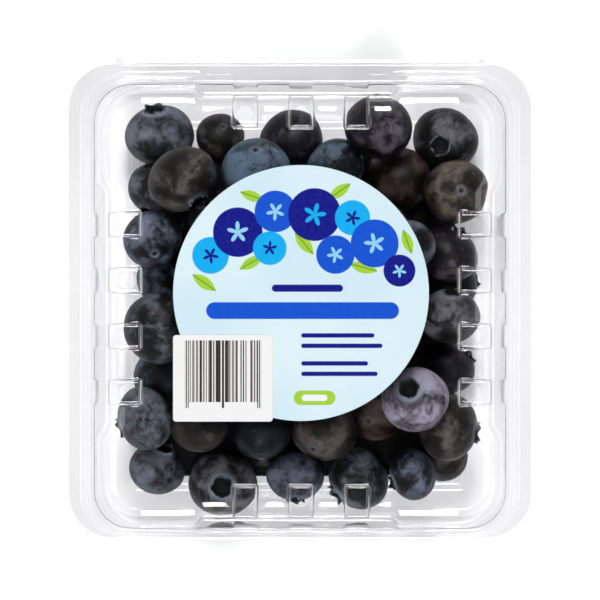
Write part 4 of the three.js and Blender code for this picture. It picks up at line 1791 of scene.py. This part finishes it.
@dataclass
class BerryHeap:
    """Heap of whole berries, each settled on the floor or on those dropped before it."""

    floor: float = 2.0
    snug: float = 0.93
    around: int = 40
    seed: int = 7
    flat: float = 0.86
    scatter: float = 400.0
    low: HiddenRows = HiddenRows((-16.5, -1.0, 14.5), (24.0, 9.0, -6.0, -21.0), 7.4, 20)
    middle: HiddenRows = HiddenRows((-23.0, -8.2, 6.6, 21.4), (16.8, 2.2, -12.4), 7.6, 80)
    upper: HiddenRows = HiddenRows((-15.6, -0.8, 14.0), (9.3, -5.0), 7.6, 200)
    core: Loop = Loop(40.0, -45.5, 38.0, 6.0)
    core_top: float = 9.5
    core_bottom: float = 4.5
    core_samples: tuple[int, int] = (37, 41)
    core_drop: float = 2.6
    core_drop_run: float = 6.0
    core_wave: float = 0.6
    core_wave_run: float = 4.0
    core_lift: float = 1.2
    core_lift_run: float = 3.0
    name: str = "blueberries"
    placed: list[tuple[Berry, float]] = field(default_factory=list)

    def _settle(self, berry: Berry) -> float:
        """Finds the lowest height at which a berry clears the floor and the heap under it.

        Args:
            berry: The berry that is dropped.

        Returns:
            Height of its middle.
        """
        z = self.floor + berry.r
        for other, height in self.placed:
            apart = math.hypot(other.x - berry.x, other.y - berry.y)
            reach = self.snug * (other.r + berry.r)
            if apart < reach:
                z = max(z, height + math.sqrt(reach * reach - apart * apart))
        return z

    def fill(self) -> None:
        """Drops the berries in order; a hidden floor berry that finds no room is left out."""
        for berry in SEEN_LOW:
            self.placed.append((berry, self._settle(berry)))
        for berry in self.low.berries():
            z = self._settle(berry)
            if z == self.floor + berry.r:
                self.placed.append((berry, z))
        for berry in (*self.middle.berries(), *self.upper.berries(), *SEEN_HIGH):
            self.placed.append((berry, self._settle(berry)))

    def _meridian(self) -> np.ndarray:
        """Rows of one berry from its stem scar to the bottom of its crown, for a radius of 1.

        The body is an ellipse, flat times as high as wide, with a dimple at the scar. Over it come the
        crown's groove, rim and pit.

        Returns:
            Array of shape (rows, 8): radius, height, lobe's share of radius, lobe's share of height, and
            the masks of crown, pit, scar and pale ring.
        """
        polar = np.concatenate([[-90, -87, -84, -80.5, -76, -70], np.linspace(-63, 60, 18)])
        turn = np.radians(polar)
        radius, height = np.cos(turn), self.flat * np.sin(turn)
        radius[0] = 0.0
        dimple = 0.05 * np.exp(-((radius / 0.08) ** 2)) - 0.014 * np.exp(-(((radius - 0.14) / 0.04) ** 2))
        by_the_scar = polar < -60
        body = np.zeros((len(polar), 8))
        body[:, 0] = radius
        body[:, 1] = height + np.where(by_the_scar, dimple, 0.0)
        body[:, 6] = np.where(by_the_scar, np.exp(-((radius / 0.075) ** 4)), 0.0)
        body[:, 7] = np.where(by_the_scar, 0.75 * np.exp(-(((radius - 0.125) / 0.04) ** 2)), 0.0)
        crown = np.array([
            [0.425, 0.778, 0.00, 0.00, 0.00, 0.0, 0.0, 0.3],
            [0.362, 0.796, 0.00, 0.00, 0.00, 0.0, 0.0, 0.8],
            [0.314, 0.814, 0.01, 0.01, 0.20, 0.0, 0.0, 0.95],
            [0.298, 0.840, 0.03, 0.04, 0.70, 0.0, 0.0, 0.3],
            [0.296, 0.856, 0.05, 0.08, 0.95, 0.0, 0.0, 0.0],
            [0.272, 0.854, 0.04, 0.07, 1.00, 0.3, 0.0, 0.0],
            [0.256, 0.818, 0.02, 0.03, 0.95, 0.8, 0.0, 0.0],
            [0.240, 0.760, 0.01, 0.00, 0.90, 1.0, 0.0, 0.0],
            [0.192, 0.695, 0.00, 0.00, 0.85, 1.0, 0.0, 0.0],
            [0.105, 0.655, 0.00, 0.00, 0.85, 1.0, 0.0, 0.0],
            [0.000, 0.668, 0.00, 0.00, 0.85, 1.0, 0.0, 0.0],
        ])
        return np.concatenate([body, crown])

    def build(self) -> bpy.types.Object:
        """Works out every berry's surface at once.

        In a berry's own frame a sample is (R cos a, R sin a, H). R and H follow the meridian, the crown's
        lobes add their share times a ragged five-fold wave of the azimuth a, and slow waves of a and of
        the height make each body uneven. The frame is then turned to the crown's direction.

        Returns:
            The heap, one mesh with the berries' colours and masks as attributes.
        """
        self.fill()
        random = np.random.default_rng(self.seed)
        meridian = self._meridian()
        count = len(self.placed)
        azimuth = np.linspace(0, 2 * np.pi, self.around, endpoint=False)[None, None, :]
        phase = random.uniform(0, 2 * np.pi, (count, 8, 1, 1))
        size = random.uniform(0.5, 1.0, (count, 4, 1, 1))
        radius, height, flare, rise = (meridian[None, :, column, None] for column in range(4))

        lobe = (0.5 + 0.5 * np.cos(5 * azimuth + phase[:, 0])) ** 1.4
        ragged = (1 + 0.3 * np.cos(azimuth + phase[:, 1]) + 0.2 * np.cos(3 * azimuth + phase[:, 2])
                  + 0.18 * np.cos(8 * azimuth + phase[:, 5]))
        lobe = lobe * ragged * (0.55 + 0.6 * size[:, 0])
        waist = np.clip(1 - (height / 0.9) ** 2, 0, 1)
        uneven = (0.028 * size[:, 1] * np.cos(2 * azimuth + phase[:, 3])
                  + 0.014 * size[:, 2] * np.cos(3 * azimuth + phase[:, 4])
                  + 0.010 * np.cos(5 * azimuth + phase[:, 5] + 2.5 * height)
                  + 0.012 * np.cos(4.0 * height + phase[:, 6] + azimuth))
        grown = radius * (1 + uneven * waist) + flare * lobe
        lean = 0.03 * size[:, 3] * np.cos(azimuth + phase[:, 7]) * radius
        level = height * (1 + 0 * azimuth) + rise * lobe + lean * np.abs(height)
        local = np.stack([grown * np.cos(azimuth), grown * np.sin(azimuth), level], axis=-1)

        berries = [berry for berry, _ in self.placed]
        r = np.array([berry.r for berry in berries])
        tilt = np.radians([berry.tilt for berry in berries])
        heading = np.radians([berry.heading for berry in berries])
        up = np.stack([np.sin(tilt) * np.cos(heading), np.sin(tilt) * np.sin(heading), np.cos(tilt)], axis=1)
        right = np.stack([-np.sin(heading), np.cos(heading), 0 * heading], axis=1)
        ahead = np.cross(up, right)
        frame = np.stack([right, ahead, up], axis=1)
        middle = np.array([[berry.x, berry.y, z] for berry, z in self.placed])
        scaled = local * r[:, None, None, None]
        points = np.einsum("brak,bkj->braj", scaled, frame) + middle[:, None, None, :]

        heap = self._join(points)
        own = scaled + random.uniform(-self.scatter, self.scatter, (count, 1, 1, 3))
        self._paint(heap, own, meridian)
        return heap

    def _join(self, points: np.ndarray) -> bpy.types.Object:
        """Skins every berry's grid; the first and last row of each shrink to one point.

        Args:
            points: Samples of shape (berries, rows, azimuths, 3).

        Returns:
            The mesh object.
        """
        count, rows, around = points.shape[:3]
        inner = points[:, 1:-1].reshape(count, -1, 3)
        poles = points[:, [0, -1]].mean(axis=2)
        quads, fans = ball_faces(rows - 2, around)
        each = inner.shape[1] + 2
        shift = (np.arange(count) * each)[:, None, None]
        merged = np.concatenate([inner, poles], axis=1).reshape(-1, 3)
        return surface_object(self.name, merged, (quads[None] + shift).reshape(-1, 4),
                              (fans[None] + shift).reshape(-1, 3))

    def _paint(self, heap: bpy.types.Object, own: np.ndarray, meridian: np.ndarray) -> None:
        """Writes the attributes that the skin material reads.

        Args:
            heap: The mesh object.
            own: Each sample's place in its berry's own frame, shifted berry by berry, in millimetres.
            meridian: Rows of one berry with their masks.
        """
        count, rows, around = own.shape[:3]
        berries = [berry for berry, _ in self.placed]

        def flattened(values: np.ndarray) -> np.ndarray:
            """Puts grid values in the order of the mesh's vertices.

            Args:
                values: Values of shape (berries, rows, azimuths, channels).

            Returns:
                Values of shape (vertices, channels).
            """
            inner = values[:, 1:-1].reshape(count, -1, values.shape[-1])
            return np.concatenate([inner, values[:, [0, -1], 0]], axis=1).reshape(-1, values.shape[-1])

        def spread(values: np.ndarray) -> np.ndarray:
            """Repeats one row of values a berry for each of its samples."""
            return np.broadcast_to(values[:, None, None, :], (count, rows, around, values.shape[-1]))

        def down(column: int) -> np.ndarray:
            """Spreads one of the meridian's masks over every berry and azimuth.

            Args:
                column: The mask's column.

            Returns:
                Values of shape (berries, rows, azimuths, 1).
            """
            mask = meridian[None, :, None, column, None]
            return np.broadcast_to(mask, (count, rows, around, 1))

        def write(name: str, kind: str, key: str, values: np.ndarray) -> None:
            """Adds one attribute to the mesh.

            Args:
                name: Name of the attribute.
                kind: Its data type.
                key: Name of its field.
                values: Values of shape (berries, rows, azimuths, channels).
            """
            made = heap.data.attributes.new(name, kind, "POINT")
            made.data.foreach_set(key, flattened(values).astype(np.float32).ravel())

        opaque = np.ones((count, 1))
        skin = np.array([berry.tone.value[0] for berry in berries])
        wax = np.array([berry.tone.value[1] for berry in berries])
        share = np.array([[berry.bloom] for berry in berries])
        write("skin_place", "FLOAT_VECTOR", "vector", own)
        write("skin_tone", "FLOAT_COLOR", "color", spread(np.concatenate([skin, opaque], axis=1)))
        write("bloom_tone", "FLOAT_COLOR", "color", spread(np.concatenate([wax, opaque], axis=1)))
        write("bloom_share", "FLOAT", "value", spread(share))
        for column, name in enumerate(("crown", "pit", "scar", "ring"), start=4):
            write(name, "FLOAT", "value", down(column))

    def build_core(self) -> bpy.types.Object:
        """Dark, bumpy filling of the gaps between the lowest berries, hidden under the seen ones: a sheet of
        painted shade that keeps those gaps black.

        Its top is a sum of slow waves over a rounded block, highest in the middle.

        Returns:
            The core.
        """
        x = np.linspace(-self.core.half, self.core.half, self.core_samples[0])
        y = np.linspace(self.core.front, self.core.back, self.core_samples[1])
        across, along = np.meshgrid(x, y)
        inside = np.minimum(self.core.half - np.abs(across),
                            np.minimum(along - self.core.front, self.core.back - along))
        waves = self.core_wave * (np.sin(across * 0.45 + 1.0) + np.sin(along * 0.42))
        drop = self.core_drop * (1 - smooth(inside / self.core_drop_run))
        top = self.core_top - drop + waves * smooth(inside / self.core_wave_run)
        bottom = self.core_bottom + self.core_lift * (1 - smooth(inside / self.core_lift_run))
        upper = np.stack([across, along, top], axis=-1)
        lower = np.stack([across, along, bottom], axis=-1)
        points = np.concatenate([upper.reshape(-1, 3), lower.reshape(-1, 3)])
        rows, columns = across.shape
        index = np.arange(rows * columns).reshape(rows, columns)
        over = np.stack([index[:-1, :-1], index[:-1, 1:], index[1:, 1:], index[1:, :-1]], axis=-1)
        over = over.reshape(-1, 4)
        under = over[:, ::-1] + rows * columns
        edge = np.concatenate([index[0], index[1:, -1], index[-1, -2::-1], index[-2:0:-1, 0]])
        ahead = np.roll(edge, -1)
        side = np.stack([edge + rows * columns, ahead + rows * columns, ahead, edge], axis=-1)
        quads = np.concatenate([over, under, side])
        return surface_object("heap_core", points, quads)

    def dress(self, heap: bpy.types.Object, core: bpy.types.Object, skin: BerrySkin) -> None:
        """Gives the heap its skin and the core its painted shade, and sets them on the base body in place of
        the CAD solid.

        Args:
            heap: The berries.
            core: The filling between them.
            skin: Finish of both.
        """
        heap.data.materials.append(skin.material())
        # The core gets the nearly black painted shade.
        core.data.materials.append(skin.shaded())
        for piece in (heap, core):
            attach(piece, BASE_BODY)
            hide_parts("berries")


# The studio


@dataclass(frozen=True)
class SoftBox:
    """Large soft lamp: where it stands, its height in degrees, its sides in metres and its radiance."""

    name: str
    azimuth: float
    elevation: float
    width: float
    height: float
    radiance: float


@dataclass
class Studio:
    """Camera straight above, white floor, and a soft white surround that is darker at its ends."""

    camera_height: float = 1.04
    view_width: float = 0.150
    lid_height: float = 0.041
    sensor: float = 36.0
    floor_half: float = 4.0
    floor_colour: Colour = (0.93, 0.93, 0.93)
    floor_glow: float = 0.2
    floor_gap: float = 0.02
    clouding: float = 0.04
    sky: tuple[tuple[float, float], ...] = (
        (0.0, 0.5), (0.2, 0.4), (0.5, 0.27), (0.9, 0.27), (0.975, 0.04), (1.0, 0.0))
    boxes: tuple[SoftBox, ...] = (
        SoftBox("light_left", -90, 50, 0.6, 0.6, 1.2),
        SoftBox("light_right", 90, 50, 0.6, 0.6, 1.0),
        SoftBox("light_back", 180, 54, 0.22, 0.4, 16.0),
        SoftBox("light_front", 0, 54, 0.22, 0.4, 13.5),
    )
    box_distance: float = 1.1

    def camera(self) -> None:
        """Sets the camera so that the lid's top is shown at four pixels a millimetre."""
        data = bpy.data.cameras.new("view_from_above")
        distance = self.camera_height - self.lid_height
        data.sensor_width = self.sensor
        data.lens = self.sensor * distance / self.view_width
        data.clip_start = 0.01
        data.clip_end = 50.0
        made = bpy.data.objects.new("view_from_above", data)
        made.location = (0.0, 0.0, self.camera_height)
        bpy.context.scene.collection.objects.link(made)
        bpy.context.scene.camera = made

    def floor(self) -> None:
        """Lays the pale floor under the punnet."""
        material, tree, shader, _ = new_material("studio_floor")
        place = tree.node("TexCoord").outputs["Object"]
        cloud = tree.noise(place, 3.0, 2.0)
        colour = tree.mix(tree.spread(cloud, 0.3, 0.7, 0.0, self.clouding), self.floor_colour, WHITE)
        tree.feed(shader.inputs["Base Color"], colour)
        tree.feed(shader.inputs["Emission Color"], colour)
        shader.inputs["Emission Strength"].default_value = self.floor_glow
        shader.inputs["Roughness"].default_value = 0.8
        shader.inputs["Specular IOR Level"].default_value = 0.1
        half = self.floor_half / MM
        corners = ((-half, -half), (half, -half), (half, half), (-half, half))
        points = np.array([(x, y, -self.floor_gap) for x, y in corners])
        floor = surface_object("floor", points, np.array([[0, 1, 2, 3]]))
        floor.data.materials.append(material)

    def light(self) -> None:
        """Surrounds the scene with soft white light, by height above the horizon."""
        world = bpy.data.worlds.new("studio")
        bpy.context.scene.world = world
        world.use_nodes = True
        world.node_tree.nodes.clear()
        tree = Tree(world.node_tree)
        _, _, upward = tree.parts(tree.node("TexCoord").outputs["Generated"])
        ramp = tree.node("ValToRGB")
        tree.feed(ramp.inputs[0], upward)
        bands = ramp.color_ramp.elements
        top = max(level for _, level in self.sky)
        for _ in range(len(self.sky) - 2):
            bands.new(0.5)
        for band, (at, level) in zip(bands, self.sky):
            band.position = at
            band.color = (level / top, level / top, level / top, 1.0)
        background = tree.node("Background")
        tree.feed(background.inputs["Color"], ramp.outputs[0])
        background.inputs["Strength"].default_value = top
        output = tree.node("OutputWorld")
        tree.feed(output.inputs["Surface"], background.outputs[0])

    def lamps(self) -> None:
        """Hangs the soft lamps round the punnet, each turned to its middle.

        A lamp of area A and even radiance L gives pi A L watts.
        """
        for box in self.boxes:
            data = bpy.data.lights.new(box.name, "AREA")
            data.shape = "RECTANGLE"
            data.size = box.width
            data.size_y = box.height
            data.energy = math.pi * box.width * box.height * box.radiance
            lamp = bpy.data.objects.new(box.name, data)
            azimuth, elevation = math.radians(box.azimuth), math.radians(box.elevation)
            level = self.box_distance * math.cos(elevation)
            lamp.location = (level * math.sin(azimuth), -level * math.cos(azimuth),
                             self.box_distance * math.sin(elevation))
            lamp.rotation_euler = (math.pi / 2 - elevation, 0.0, azimuth)
            bpy.context.scene.collection.objects.link(lamp)

    def build(self) -> None:
        """Sets up camera, floor, light and plain colour handling."""
        self.camera()
        self.floor()
        self.light()
        self.lamps()
        bpy.context.scene.view_settings.view_transform = "Standard"


def main() -> None:
    """Builds the pieces in order."""
    logging.basicConfig(level=logging.INFO, format="%(name)s: %(message)s")
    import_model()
    Studio().build()
    form = PackForm()

    heap = BerryHeap()
    berries = heap.build()
    core = heap.build_core()
    heap.dress(berries, core, BerrySkin())
    log.info("%d berries", len(heap.placed))
    note(berries, core)

    tray = Tray(form)
    tray_skin = tray.build()
    tray.dress(tray_skin, ClearPlastic("tray_plastic").material())
    note(tray_skin)

    lid = Lid(form)
    lid_skin = lid.build()
    lid.dress(lid_skin, ClearPlastic("lid_plastic").material())
    log.info("%d vents", len(lid.vents()))
    note(lid_skin)

    hinge = HingeWeb(form)
    web = hinge.build()
    hinge.dress(web, ClearPlastic("hinge_plastic", wave=0.2).material())
    note(web)

    papers = Papers(lid.top)
    label = papers.build_label()
    label_middle = (papers.label_x, papers.label_y)
    label_print = LabelPrint("label_paper", label_middle, papers.level(papers.label_bottom))
    papers.dress(label, label_print.material(), "label", "label_paper")
    sticker = papers.build_sticker()
    code_print = CodePrint("sticker_paper", papers.level(papers.sticker_bottom))
    papers.dress(sticker, code_print.material(), "code_sticker", "sticker_paper")
    note(label, sticker)


def note(*pieces: bpy.types.Object) -> None:
    """Logs how many faces each piece has."""
    for piece in pieces:
        log.info("%s: %d faces", piece.name, len(piece.data.polygons))


if __name__ == "__main__":
    main()
